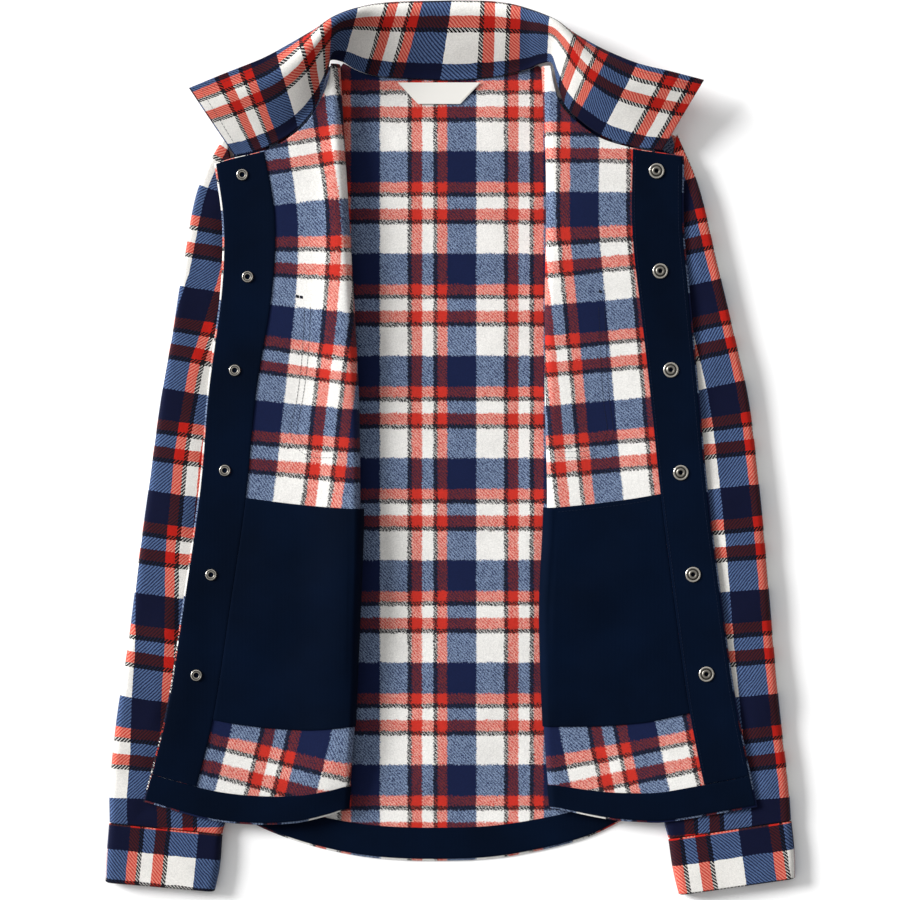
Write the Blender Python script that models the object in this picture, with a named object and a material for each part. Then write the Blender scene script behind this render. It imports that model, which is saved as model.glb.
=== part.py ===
# Plaid shacket laid open on its back, with both fronts turned back like lapels.
# X runs across the garment, +Y runs from the hem to the neck, +Z is up from the table.
# Left and right are as seen from above. All tables below are in millimetres.

import bpy
import math
import numpy as np

MM = 0.001
MIDDLE = np.array([0.0, 1.5, 0.0])  # middle of the outline, which lies over the origin

# Walls and clearances
CLOTH = 2.0            # brushed plaid cloth
FACING = 0.8           # navy knit of facings and pocket bags
COLLAR_LAYER = 1.6     # each of the two collar pieces
CUFF_WALL = 3.0        # a cuff is two layers of cloth
LABEL = 0.6
SEAM = 0.3             # gap between sewn pieces

# Facings
PLACKET_FACING = 42.0  # width of the facing down each front edge
RIM = 1.5              # plaid that shows outside the facings
HEM_BAND = 0.3         # part of the first front row that the hem facing covers
BACK_HEM_BAND = 0.036  # part of the back's length that its hem facing covers
BAG_BULGE = 2.5        # how far a pocket bag stands off the fold at its top

# Heights above the table
BODY_TOP = 5.0         # top of the back and the lower layer of a front
HEM_TOP = 6.0          # the same, where the back's hem facing lies between them
HEM_RISE = (-215.0, -195.0)
CUFF_TOP = 14.0
FOOT_RAMP = (20.0, 8.0)  # the sleeve climbs onto the body between these distances from its edge

# Side seam and armhole, from the hem to the shoulder point: x, y
SIDES = {
    "left": [(-220, -293), (-223, -216), (-226, -135), (-231, -45), (-234, 45), (-214, 126), (-206, 202), (-205, 282)],
    "right": [(221, -293), (224, -216), (227, -135), (232, -45), (236, 45), (215, 126), (207, 202), (207, 281)],
}

# Each front, in rows from the hem to the neck:
# fold x, fold y, height at the fold, edge x, edge y, height at the edge.
# Rows 1 and 3 are the bottom and the top of the pocket bag.
FRONTS = {
    "left": {
        "toward_middle": 1,
        "rows": [
            (-92, -325, 12.0, -276, -316, 17.2),
            (-86, -249, 13.5, -255, -232, 17.2),
            (-83, -151, 15.0, -240, -135, 17.2),
            (-81, -53, 15.5, -226, -36, 17.2),
            (-82, 45, 16.0, -218, 56, 17.2),
            (-87, 144, 17.0, -207, 139, 17.4),
            (-93, 243, 17.5, -205, 202, 17.6),
            (-99, 347, 18.0, -212, 257, 17.8),
        ],
        "hem": [(-92, -325), (-108, -330), (-137, -336), (-176, -337), (-219, -332), (-276, -316)],
        "under_hem": [(-92, -325), (-135, -321), (-176, -312), (-220, -293)],
        "neck": [(-107, 347), (-109, 333), (-115, 317), (-128, 295), (-144, 281), (-164, 270), (-196, 262), (-212, 257)],
    },
    "right": {
        "toward_middle": -1,
        "rows": [
            (90, -323, 12.0, 276, -321, 17.2),
            (84, -249, 13.5, 257, -227, 17.2),
            (82, -150, 15.0, 243, -129, 17.2),
            (87, -52, 15.5, 231, -32, 17.2),
            (85, 45, 16.0, 223, 56, 17.2),
            (85, 144, 17.0, 215, 144, 17.4),
            (86, 243, 17.5, 210, 202, 17.6),
            (82, 345, 18.0, 210, 264, 17.8),
        ],
        "hem": [(90, -323), (135, -332), (169, -335), (191, -335), (224, -330), (276, -321)],
        "under_hem": [(90, -323), (135, -321), (180, -311), (221, -293)],
        "neck": [(90, 345), (93, 329), (99, 311), (111, 297), (135, 280), (165, 271), (190, 267), (210, 264)],
    },
}

# Outline of the back
BACK_HEM = [
    (-220, -293), (-200, -321), (-173, -340), (-124, -358), (-66, -369), (0, -371),
    (53, -367), (115, -353), (153, -336), (189, -318), (221, -293),
]
BACK_NECK = [(-99, 347), (-88, 341), (-65, 336), (0, 333), (53, 338), (70, 342), (82, 345)]
SHOULDER_SHARE = 0.22  # part of the back's columns under each shoulder seam

# Sleeves, in sections from the armhole to the wrist:
# outer x, outer y, inner x, inner y, height
SLEEVES = {
    "left": [
        (-202, 286, -168, 92, 12.6),
        (-227, 237, -166, 48, 13.8),
        (-240, 171, -160, -2, 14.2),
        (-250, 108, -150, -54, 14.4),
        (-261, 45, -144, -99, 14.4),
        (-271, -27, -148, -146, 14.4),
        (-281, -99, -158, -193, 14.3),
        (-290, -171, -171, -240, 14.2),
        (-301, -243, -187, -285, 14.0),
        (-307, -302, -199, -321, 13.8),
        (-307.2, -335.8, -205.6, -346.2, 13.4),
    ],
    "right": [
        (204, 285, 170, 92, 12.6),
        (224, 237, 168, 48, 13.8),
        (240, 171, 160, -2, 14.2),
        (255, 108, 149, -54, 14.4),
        (269, 45, 144, -99, 14.4),
        (278, -27, 147, -146, 14.4),
        (285, -99, 157, -193, 14.3),
        (291, -171, 169, -240, 14.2),
        (298, -243, 180, -285, 14.0),
        (305, -302, 189, -322, 13.8),
        (307.2, -333.8, 196.6, -350.2, 13.4),
    ],
}

# Cuffs, in sections from the wrist seam to the opening: outer x, outer y, inner x, inner y
CUFFS = {
    "left": [(-307.6, -336.2, -205.4, -346.6), (-310, -366, -207.5, -375), (-311, -389.5, -212.4, -398)],
    "right": [(307.6, -334.2, 196.4, -350.6), (310.4, -362, 200.5, -378), (311, -386, 206, -401)],
}

# Collar, in sections from the left end to the right end: seam x, y and height,
# outer reach x and y as seen from above, slope in degrees after the seam and at the edge.
COLLAR = [
    (-194, 264.3, 18.0, -234, 324, 8, 4),
    (-172, 269.6, 18.0, -203, 336, 14, 0),
    (-147, 281.6, 18.2, -169, 349, 19, -12),
    (-130, 296.6, 18.4, -146, 361, 23, -38),
    (-118, 315, 18.6, -126, 373, 26, -66),
    (-112.2, 334, 18.6, -110, 383, 27, -86),
    (-109, 349.2, 17.2, -96, 390, 27, -92),
    (-97, 349.2, 11.0, -82, 395, 29, -94),
    (-84, 342.5, 5.0, -66, 399, 29, -95),
    (-65, 337.3, 2.7, -45, 401, 28, -95),
    (-33, 334.9, 2.1, -15, 402, 27, -95),
    (0, 333.8, 2.1, 8, 402.5, 27, -95),
    (33, 335.9, 2.1, 35, 401.5, 28, -95),
    (53, 339.1, 2.7, 55, 398.5, 29, -95),
    (70, 343.4, 5.0, 70, 394, 29, -95),
    (81, 347.6, 11.0, 81, 389.5, 29, -94),
    (91.5, 347.2, 17.0, 93, 384, 27, -92),
    (95.5, 331, 18.6, 106, 376, 27, -82),
    (101.6, 312.6, 18.6, 121, 367, 26, -60),
    (113, 299, 18.4, 141, 356, 23, -34),
    (136, 282.6, 18.2, 168, 345, 19, -10),
    (163, 272.8, 18.0, 198, 338, 15, 2),
    (190, 269, 18.0, 227, 331, 10, 5),
]
COLLAR_WIDTH = 84.0
COLLAR_BENDS = (10.0, 52.0, 74.0)  # distances from the seam where the slope starts, turns and ends

# Neck label: half widths at its top and bottom, depth, and its middle
LABEL_TOP = 37.5
LABEL_BOTTOM = 19.0
LABEL_DEPTH = 19.5
LABEL_MIDDLE = (-10.0, 331.5)

# Snaps down each front edge: distance from the edge and heights up the garment
SNAPS = {
    "left": {"name": "snap_socket", "inset": 21.3, "y": [247, 155, 71, -19, -112, -202]},
    "right": {"name": "snap_stud", "inset": 22.5, "y": [250, 161, 71, -20, -112, -202]},
}
# Their turned sections: radius, height
SNAP_SECTIONS = {
    "left": [(2.2, 0.0), (5.3, 0.0), (5.3, 0.7), (4.6, 1.5), (3.0, 1.5), (2.2, 0.9)],
    "right": [(1.6, 0.0), (7.0, 0.0), (7.0, 0.6), (6.3, 1.3), (4.5, 1.1), (4.0, 2.0), (1.6, 2.0)],
}
SNAP_SIDES = 14

# Corners round a sleeve's edge, between its underside and its top
SLEEVE_TURN = np.radians([-54, -18, 18, 54])

# Columns of a front's wall: under layer, round the fold, turned-back layer
UNDER_COLUMNS = np.linspace(0, 1, 5)[:-1]
FOLD_TURN = np.linspace(1, 2, 7)
LAPEL_COLUMNS = np.linspace(2, 3, 9)[1:]

# Colours, roughness and metallic value of each finish
FINISHES = {
    "plaid": ((0.30, 0.20, 0.24), 0.95, 0.0),
    "navy": ((0.010, 0.018, 0.050), 0.8, 0.0),
    "satin": ((0.85, 0.84, 0.81), 0.45, 0.0),
    "metal": ((0.42, 0.38, 0.30), 0.35, 1.0),
}


def clear_objects():
    for thing in list(bpy.data.objects):
        bpy.data.objects.remove(thing, do_unlink=True)


def finish(name):
    found = bpy.data.materials.get(name)
    if found:
        return found
    colour, roughness, metallic = FINISHES[name]
    material = bpy.data.materials.new(name)
    material.use_nodes = True
    shader = material.node_tree.nodes["Principled BSDF"]
    shader.inputs["Base Color"].default_value = (*colour, 1.0)
    shader.inputs["Roughness"].default_value = roughness
    shader.inputs["Metallic"].default_value = metallic
    material.diffuse_color = (*colour, 1.0)
    return material


def spline(points, places):
    # Smooth curve through the points, which lie at equal steps from 0 to 1
    points = np.asarray(points, float)
    steps = len(points) - 1
    padded = np.vstack([2 * points[0] - points[1], points, 2 * points[-1] - points[-2]])
    along = np.clip(np.asarray(places, float), 0.0, 1.0) * steps
    start = np.minimum(along.astype(int), steps - 1)
    f = (along - start)[..., None]
    a, b, c, d = padded[start], padded[start + 1], padded[start + 2], padded[start + 3]
    return b + 0.5 * f * (c - a + f * (2 * a - 5 * b + 4 * c - d + f * (3 * b - a - 3 * c + d)))


def even(points, places):
    # The same curve, with the places measured as shares of its length
    fine = np.linspace(0.0, 1.0, 161)
    drawn = spline(points, fine)
    length = np.concatenate([[0.0], np.cumsum(np.linalg.norm(np.diff(drawn, axis=0), axis=1))])
    return spline(points, np.interp(places, length / length[-1], fine))


def bow(points, places):
    # How far the curve departs from the straight line between its ends
    ends = np.asarray(points, float)[[0, -1]]
    share = np.asarray(places, float)[..., None]
    return even(points, places) - (ends[0] * (1 - share) + ends[1] * share)


def smooth(value):
    value = np.clip(value, 0.0, 1.0)
    return value * value * (3 - 2 * value)


def mixed(first, last, share):
    return first * (1 - share) + last * share


def front_points(side, across, rows, lift=0.0, bulge=0.0):
    # Points on a front's middle surface. Across is 0 to 1 from the side seam to the fold,
    # 1 to 2 round the fold and 2 to 3 from the fold to the front edge. Lift moves them
    # towards the inside of the garment, which is up on the turned-back layer.
    cut = FRONTS[side]
    inward = cut["toward_middle"]
    rows = np.asarray(rows, float)
    rows = rows[:, None] if rows.ndim == 1 else rows
    across = np.broadcast_to(np.asarray(across, float), np.broadcast_shapes(np.shape(across), rows.shape))
    rows = np.broadcast_to(rows, across.shape)
    fold_x, fold_y, fold_z, edge_x, edge_y, edge_z = np.moveaxis(spline(cut["rows"], rows), -1, 0)
    side_x, side_y = np.moveaxis(spline(SIDES[side], rows), -1, 0)
    low_z = 1.5 * CLOTH + SEAM + (HEM_TOP - BODY_TOP) * (1 - smooth(rows / 0.13))
    radius = (fold_z - low_z) / 2
    centre_x = fold_x - inward * (radius + CLOTH / 2)
    near_hem = (1 - rows) ** 4
    near_neck = rows ** 4

    under = np.clip(1 - across, 0, 1)
    over = np.clip(across - 2, 0, 1)
    turn = np.radians(180 * np.clip(across - 1, 0, 1) - 90)
    reach = inward * np.where((across >= 1) & (across <= 2), np.cos(turn), 0.0)
    height = np.where(across < 1, -1.0, np.where(across > 2, 1.0, np.sin(turn)))
    stand = lift + bulge * np.where((across > 1) & (across < 2), np.cos(turn), 0.0)

    below = bow(cut["under_hem"], under) * near_hem[..., None]
    above = bow(cut["hem"], over) * near_hem[..., None] + bow(cut["neck"], over) * near_neck[..., None]
    x = mixed(mixed(centre_x, side_x, under), edge_x, over) + below[..., 0] + above[..., 0]
    y = mixed(mixed(fold_y, side_y, under), edge_y, over) + below[..., 1] + above[..., 1]
    z = (fold_z + low_z) / 2 + height * radius + (edge_z - fold_z) * over
    return np.stack([x + reach * (radius + stand), y, z + height * stand], axis=-1)


def front_width(side, rows):
    fold = front_points(side, [2.0], rows)
    edge = front_points(side, [3.0], rows)
    return np.linalg.norm(edge - fold, axis=-1)


def back_points(across, rows, lift=0.0):
    # Points on the back's middle surface: across from left to right, rows from hem to neck
    left, right = spline(SIDES["left"], rows)[:, None], spline(SIDES["right"], rows)[:, None]
    share = across[None, :, None]
    up = rows[:, None, None]
    tip_l, tip_r = np.array(SIDES["left"][-1], float), np.array(SIDES["right"][-1], float)
    neck_l, neck_r = np.array(BACK_NECK[0], float), np.array(BACK_NECK[-1], float)
    part = SHOULDER_SHARE
    top = even(BACK_NECK, (across - part) / (1 - 2 * part))
    first, last = across[:, None] / part, (1 - across[:, None]) / part
    top = np.where(first < 1, mixed(tip_l, neck_l, first), top)
    top = np.where(last < 1, mixed(tip_r, neck_r, last), top)
    top_bow = top - mixed(tip_l, tip_r, across[:, None])
    flat = mixed(left, right, share) + bow(BACK_HEM, across) * (1 - up) ** 4 + top_bow * up ** 4
    height = np.full(flat.shape[:2] + (1,), CLOTH / 2 + lift)
    return np.concatenate([flat, height], axis=-1)


def add_object(name, points, faces, material, thickness=0.0):
    mesh = bpy.data.meshes.new(name)
    mesh.from_pydata([tuple(p) for p in (np.reshape(points, (-1, 3)) - MIDDLE) * MM], [], faces)
    mesh.materials.append(finish(material))
    mesh.shade_smooth()
    mesh.set_sharp_from_angle(angle=math.radians(40))
    made = bpy.data.objects.new(name, mesh)
    bpy.context.scene.collection.objects.link(made)
    if thickness:
        wall = made.modifiers.new("wall", "SOLIDIFY")
        wall.thickness = thickness * MM
        wall.offset = 0.0
    return made


def sheet(name, grid, thickness, material):
    # A closed wall with the grid as its middle surface
    count, wide = grid.shape[:2]
    faces = [
        (r * wide + c, r * wide + c + 1, (r + 1) * wide + c + 1, (r + 1) * wide + c)
        for r in range(count - 1)
        for c in range(wide - 1)
    ]
    return add_object(name, grid, faces, material, thickness)


def tube(name, outer, inner, material):
    # An open-ended tube between its outer and inner rings
    count, around = outer.shape[:2]
    inside = count * around
    faces = []
    for c in range(around):
        d = (c + 1) % around
        for r in range(count - 1):
            a, b = r * around, (r + 1) * around
            faces.append((a + c, b + c, b + d, a + d))
            faces.append((inside + a + c, inside + a + d, inside + b + d, inside + b + c))
        last = (count - 1) * around
        faces.append((c, d, inside + d, inside + c))
        faces.append((last + c, inside + last + c, inside + last + d, last + d))
    a, b, c = outer[0][0], outer[1][0], outer[0][1]
    if np.dot(np.cross(b - a, c - a), a - outer[0].mean(axis=0)) < 0:
        faces = [face[::-1] for face in faces]
    return add_object(name, np.concatenate([outer, inner]), faces, material)


def body_edge(side, y):
    # Distance of the body's edge from the middle line at a height up the garment
    xs, ys = np.array(SIDES[side], float).T
    beyond = np.maximum(ys[0] - y, 0.0)
    return np.abs(np.interp(y, ys, xs)) - beyond


def floor_height(side, x, y):
    # Height of what the sleeve lies on: the table, or the body's layers inside its edge
    outside = np.abs(x) - body_edge(side, y)
    low, high = HEM_RISE
    top = mixed(HEM_TOP, BODY_TOP, smooth((y - low) / (high - low)))
    return top * smooth((FOOT_RAMP[0] - outside) / (FOOT_RAMP[0] - FOOT_RAMP[1]))


def sleeve_ring(side, row, wall=0.0):
    # A flattened ring from the outer edge along the underside and back over the top,
    # moved inwards by the wall for the inner surface
    outer, inner, top = np.array(row[0:2]), np.array(row[2:4]), row[4] - wall
    width = np.linalg.norm(inner - outer)
    along = (inner - outer) / width
    steps = np.linspace(0.0, width, 81)
    line = outer + along * steps[:, None]
    outside = np.abs(line[:, 0]) - body_edge(side, line[:, 1])
    heights = floor_height(side, line[:, 0], line[:, 1]) + wall
    turn_out, turn_in = (top - heights[0]) / 2, (top - heights[-1]) / 2
    begin, end = wall + turn_out, width - wall - turn_in
    ramp = [steps[np.argmax(outside < at)] if np.any(outside < at) else width for at in FOOT_RAMP]
    first = np.clip(ramp[0], begin + 2, end - 6)
    second = np.clip(ramp[1], first + 2, end - 4)
    bottom = [begin, first, second, (second + end) / 2, end]
    ring = [(at, float(np.interp(at, steps, heights))) for at in bottom]
    for turn in SLEEVE_TURN:
        ring.append((end + turn_in * math.cos(turn), top - turn_in * (1 - math.sin(turn))))
    ring += [(at, top) for at in np.linspace(end, begin, 5)]
    for turn in SLEEVE_TURN[::-1]:
        ring.append((begin - turn_out * math.cos(turn), top - turn_out * (1 - math.sin(turn))))
    return np.array([[*(outer + along * at), z] for at, z in ring])


def make_back():
    grid = back_points(np.linspace(0, 1, 21), np.linspace(0, 1, 17))
    sheet("back", grid, CLOTH, "plaid")
    band = back_points(
        np.linspace(0.03, 0.97, 25),
        np.linspace(0.0022, BACK_HEM_BAND, 3),
        CLOTH / 2 + SEAM + FACING / 2,
    )
    sheet("hem_facing_back", band, FACING, "navy")


def make_front(side):
    rows = np.linspace(0, 1, 22)
    across = np.concatenate([UNDER_COLUMNS, FOLD_TURN, LAPEL_COLUMNS])
    sheet("front_" + side, front_points(side, across, rows), CLOTH, "plaid")

    # Facings and bags lie on the turned-back layer's inside
    lift = CLOTH / 2 + SEAM + FACING / 2
    first_row = 1 / 7
    hem_rows = np.linspace(0.003, HEM_BAND * first_row, 3)
    rim = RIM / front_width(side, hem_rows)
    span = np.concatenate([FOLD_TURN[3:], LAPEL_COLUMNS])
    hem_across = np.minimum(span[None, :], 3.0 - rim)
    sheet("hem_facing_" + side, front_points(side, hem_across, hem_rows, lift), FACING, "navy")

    rows = np.linspace(HEM_BAND * first_row + 0.0008, 0.998, 22)
    width = front_width(side, rows)
    inner = 3.0 - PLACKET_FACING / width
    outer = 3.0 - RIM / width
    strip = mixed(inner, outer, np.linspace(0, 1, 4)[None, :])
    sheet("placket_facing_" + side, front_points(side, strip, rows, lift), FACING, "navy")

    rows = np.linspace(first_row, 3 * first_row, 9)
    inner = 3.0 - (PLACKET_FACING + SEAM) / front_width(side, rows)
    turned = np.broadcast_to(FOLD_TURN[2:], (len(rows), len(FOLD_TURN) - 2))
    bag = np.hstack([turned, mixed(2.0, inner, np.linspace(0, 1, 6)[None, 1:])])
    bulge = BAG_BULGE * smooth(np.linspace(0, 1, 9))[:, None]
    sheet("pocket_bag_" + side, front_points(side, bag, rows, lift, bulge), FACING, "navy")


def make_sleeve(side):
    sections = spline(SLEEVES[side], np.linspace(0, 1, 23))
    outer = np.array([sleeve_ring(side, row) for row in sections])
    inner = np.array([sleeve_ring(side, row, CLOTH) for row in sections])
    tube("sleeve_" + side, outer, inner, "plaid")
    sections = np.insert(spline(CUFFS[side], np.linspace(0, 1, 4)), 4, CUFF_TOP, axis=1)
    outer = np.array([sleeve_ring(side, row) for row in sections])
    inner = np.array([sleeve_ring(side, row, CUFF_WALL) for row in sections])
    tube("cuff_" + side, outer, inner, "plaid")


def collar_section(row, steps):
    # The slope starts flat at the seam, rises, then turns down towards the edge
    start, height, outer, (rise, fall) = row[0:2], row[2], row[3:5], row[5:7]
    first, second, third = COLLAR_BENDS
    distance = np.linspace(0.0, COLLAR_WIDTH, steps)
    fine = np.linspace(0.0, COLLAR_WIDTH, 181)
    slope = rise * smooth(fine / first) + (fall - rise) * smooth((fine - second) / (third - second))
    slope = np.radians(slope)
    step = fine[1] - fine[0]
    reach = np.concatenate([[0.0], np.cumsum(np.cos(slope[:-1]) * step)])
    climb = np.concatenate([[0.0], np.cumsum(np.sin(slope[:-1]) * step)])
    span = (outer - start) / reach.max()
    plan = start + span * np.interp(distance, fine, reach)[:, None]
    return np.column_stack([plan, height + np.interp(distance, fine, climb)])


def make_collar():
    sections = spline(COLLAR, np.linspace(0, 1, 37))
    grid = np.array([collar_section(row, 12) for row in sections])
    normal = np.cross(np.gradient(grid, axis=1), np.gradient(grid, axis=0))
    normal /= np.linalg.norm(normal, axis=-1, keepdims=True)
    normal *= np.sign(normal[:, 0, 2].mean())
    half = (COLLAR_LAYER + SEAM) / 2
    sheet("collar_upper", grid + normal * half, COLLAR_LAYER, "plaid")
    sheet("collar_under", grid - normal * half, COLLAR_LAYER, "plaid")


def make_label():
    down = np.linspace(0, 1, 3)[:, None]
    half = mixed(LABEL_TOP, LABEL_BOTTOM, down)
    x = LABEL_MIDDLE[0] + half * np.linspace(-1, 1, 5)[None, :]
    y = LABEL_MIDDLE[1] - LABEL_DEPTH * down + 0 * x
    z = CLOTH + SEAM + LABEL / 2 + 0 * x
    sheet("neck_label", np.stack([x, y, z], axis=-1)[:, ::-1], LABEL, "satin")


def make_snaps(side):
    spec = SNAPS[side]
    lift = CLOTH / 2 + SEAM + FACING + SEAM + 0.1
    fine = np.linspace(0.02, 0.99, 400)
    inset = 3.0 - spec["inset"] / front_width(side, fine)
    line = front_points(side, inset, fine, lift)[:, 0]
    section = SNAP_SECTIONS[side]
    for number, height in enumerate(spec["y"], start=1):
        nearest = int(np.argmin(np.abs(line[:, 1] - height)))
        centre = line[nearest]
        row = np.array([fine[nearest]])
        along = line[nearest + 3] - line[nearest - 3]
        near = front_points(side, inset[nearest] + np.array([[-0.02, 0.02]]), row, lift)[0]
        up = np.cross(near[1] - near[0], along)
        up *= math.copysign(1.0, up[2]) / np.linalg.norm(up)
        east = np.cross([0.0, 1.0, 0.0], up)
        east /= np.linalg.norm(east)
        north = np.cross(up, east)
        rings = []
        for turn in np.linspace(0, 2 * math.pi, SNAP_SIDES, endpoint=False):
            spoke = east * math.cos(turn) + north * math.sin(turn)
            rings.append([centre + spoke * r + up * z for r, z in section])
        wide = len(section)
        faces = []
        for s in range(SNAP_SIDES):
            t = (s + 1) % SNAP_SIDES
            for c in range(wide):
                d = (c + 1) % wide
                faces.append((s * wide + c, t * wide + c, t * wide + d, s * wide + d))
        add_object(f"{spec['name']}_{number}", np.array(rings), faces, "metal")


clear_objects()
make_back()
for side in ("left", "right"):
    make_front(side)
    make_sleeve(side)
    make_snaps(side)
make_collar()
make_label()
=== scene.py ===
import math

import bpy
import numpy as np
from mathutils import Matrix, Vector


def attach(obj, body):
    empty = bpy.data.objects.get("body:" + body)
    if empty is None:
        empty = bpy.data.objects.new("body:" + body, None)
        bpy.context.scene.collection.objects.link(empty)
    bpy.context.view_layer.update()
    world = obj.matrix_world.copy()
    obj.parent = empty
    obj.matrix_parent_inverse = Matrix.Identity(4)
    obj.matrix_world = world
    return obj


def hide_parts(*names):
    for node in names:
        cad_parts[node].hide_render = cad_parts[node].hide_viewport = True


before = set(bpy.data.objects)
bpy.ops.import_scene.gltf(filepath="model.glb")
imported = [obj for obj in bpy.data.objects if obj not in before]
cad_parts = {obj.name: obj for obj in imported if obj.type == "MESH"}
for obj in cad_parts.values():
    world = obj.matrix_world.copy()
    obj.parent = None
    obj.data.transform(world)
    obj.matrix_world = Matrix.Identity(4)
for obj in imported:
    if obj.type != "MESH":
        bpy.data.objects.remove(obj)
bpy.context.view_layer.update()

# Lengths are in millimetres until a mesh is made. X across, +Y to the neck, +Z up from the table.
mm = 0.001
middle = np.array([0.0, 1.5, 0.0])  # middle of the outline, which lies over the origin

# The garment's sizes, as in the solids
cloth = 2.0
facing = 0.8
collarLayer = 1.6
cuffWall = 3.0
labelWall = 0.6
seam = 0.3
shellWall = 1.9               # drawn cloth, thinner than its solid so that the seams stay open
facingLift = cloth / 2 + seam + facing / 2   # from the middle of the cloth to that of a facing on it
placketFacing = 42.0
rim = 1.5                     # cloth left bare beside a facing
hemBand = 0.3                 # facing's share of a front's first row
backHemBand = 0.036           # facing's share of the back
bagBulge = 2.5
bodyTop = 5.0                 # top of the body's two layers at the side, and at the hem
hemTop = 6.0
hemRise = (-215.0, -195.0)    # y between which the one height turns into the other
cuffTop = 14.0
footRamp = (20.0, 8.0)        # mm outside the body where a sleeve starts to climb and is up

# Side seam and armhole, from the hem to the shoulder point: x, y
sides = {
    "left": [
        (-220, -293), (-223, -216), (-226, -135), (-231, -45),
        (-234, 45), (-214, 126), (-206, 202), (-205, 282),
    ],
    "right": [
        (221, -293), (224, -216), (227, -135), (232, -45),
        (236, 45), (215, 126), (207, 202), (207, 281),
    ],
}

# Rows of each front from the hem to the neck: fold x, y and height, then edge x, y and height
fronts = {
    "left": {
        "towardMiddle": 1,
        "rows": [
            (-92, -325, 12.0, -276, -316, 17.2),
            (-86, -249, 13.5, -255, -232, 17.2),
            (-83, -151, 15.0, -240, -135, 17.2),
            (-81, -53, 15.5, -226, -36, 17.2),
            (-82, 45, 16.0, -218, 56, 17.2),
            (-87, 144, 17.0, -207, 139, 17.4),
            (-93, 243, 17.5, -205, 202, 17.6),
            (-99, 347, 18.0, -212, 257, 17.8),
        ],
        "hem": [(-92, -325), (-108, -330), (-137, -336), (-176, -337), (-219, -332), (-276, -316)],
        "underHem": [(-92, -325), (-135, -321), (-176, -312), (-220, -293)],
        "neck": [
            (-107, 347), (-109, 333), (-115, 317), (-128, 295),
            (-144, 281), (-164, 270), (-196, 262), (-212, 257),
        ],
    },
    "right": {
        "towardMiddle": -1,
        "rows": [
            (90, -323, 12.0, 276, -321, 17.2),
            (84, -249, 13.5, 257, -227, 17.2),
            (82, -150, 15.0, 243, -129, 17.2),
            (87, -52, 15.5, 231, -32, 17.2),
            (85, 45, 16.0, 223, 56, 17.2),
            (85, 144, 17.0, 215, 144, 17.4),
            (86, 243, 17.5, 210, 202, 17.6),
            (82, 345, 18.0, 210, 264, 17.8),
        ],
        "hem": [(90, -323), (135, -332), (169, -335), (191, -335), (224, -330), (276, -321)],
        "underHem": [(90, -323), (135, -321), (180, -311), (221, -293)],
        "neck": [
            (90, 345), (93, 329), (99, 311), (111, 297),
            (135, 280), (165, 271), (190, 267), (210, 264),
        ],
    },
}

# Outline of the back
backHem = [
    (-220, -293), (-200, -321), (-173, -340), (-124, -358), (-66, -369), (0, -371),
    (53, -367), (115, -353), (153, -336), (189, -318), (221, -293),
]
backNeck = [(-99, 347), (-88, 341), (-65, 336), (0, 333), (53, 338), (70, 342), (82, 345)]
shoulderShare = 0.22

# Sleeves from the armhole to the wrist: outer x, outer y, inner x, inner y, height
sleeves = {
    "left": [
        (-202, 286, -168, 92, 12.6),
        (-227, 237, -166, 48, 13.8),
        (-240, 171, -160, -2, 14.2),
        (-250, 108, -150, -54, 14.4),
        (-261, 45, -144, -99, 14.4),
        (-271, -27, -148, -146, 14.4),
        (-281, -99, -158, -193, 14.3),
        (-290, -171, -171, -240, 14.2),
        (-301, -243, -187, -285, 14.0),
        (-307, -302, -199, -321, 13.8),
        (-307.2, -335.8, -205.6, -346.2, 13.4),
    ],
    "right": [
        (204, 285, 170, 92, 12.6),
        (224, 237, 168, 48, 13.8),
        (240, 171, 160, -2, 14.2),
        (255, 108, 149, -54, 14.4),
        (269, 45, 144, -99, 14.4),
        (278, -27, 147, -146, 14.4),
        (285, -99, 157, -193, 14.3),
        (291, -171, 169, -240, 14.2),
        (298, -243, 180, -285, 14.0),
        (305, -302, 189, -322, 13.8),
        (307.2, -333.8, 196.6, -350.2, 13.4),
    ],
}
cuffs = {
    "left": [(-307.6, -336.2, -205.4, -346.6), (-310, -366, -207.5, -375), (-311, -389.5, -212.4, -398)],
    "right": [(307.6, -334.2, 196.4, -350.6), (310.4, -362, 200.5, -378), (311, -386, 206, -401)],
}

# Collar from end to end: seam x, y, height, outer x, y, slope after the seam and at the edge
collar = [
    (-194, 264.3, 18.0, -234, 324, 8, 4),
    (-172, 269.6, 18.0, -203, 336, 14, 0),
    (-147, 281.6, 18.2, -169, 349, 19, -12),
    (-130, 296.6, 18.4, -146, 361, 23, -38),
    (-118, 315, 18.6, -126, 373, 26, -66),
    (-112.2, 334, 18.6, -110, 383, 27, -86),
    (-109, 349.2, 17.2, -96, 390, 27, -92),
    (-97, 349.2, 11.0, -82, 395, 29, -94),
    (-84, 342.5, 5.0, -66, 399, 29, -95),
    (-65, 337.3, 2.7, -45, 401, 28, -95),
    (-33, 334.9, 2.1, -15, 402, 27, -95),
    (0, 333.8, 2.1, 8, 402.5, 27, -95),
    (33, 335.9, 2.1, 35, 401.5, 28, -95),
    (53, 339.1, 2.7, 55, 398.5, 29, -95),
    (70, 343.4, 5.0, 70, 394, 29, -95),
    (81, 347.6, 11.0, 81, 389.5, 29, -94),
    (91.5, 347.2, 17.0, 93, 384, 27, -92),
    (95.5, 331, 18.6, 106, 376, 27, -82),
    (101.6, 312.6, 18.6, 121, 367, 26, -60),
    (113, 299, 18.4, 141, 356, 23, -34),
    (136, 282.6, 18.2, 168, 345, 19, -10),
    (163, 272.8, 18.0, 198, 338, 15, 2),
    (190, 269, 18.0, 227, 331, 10, 5),
]
collarWidth = 84.0
collarBends = (10.0, 52.0, 74.0)


# Small tools

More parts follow.
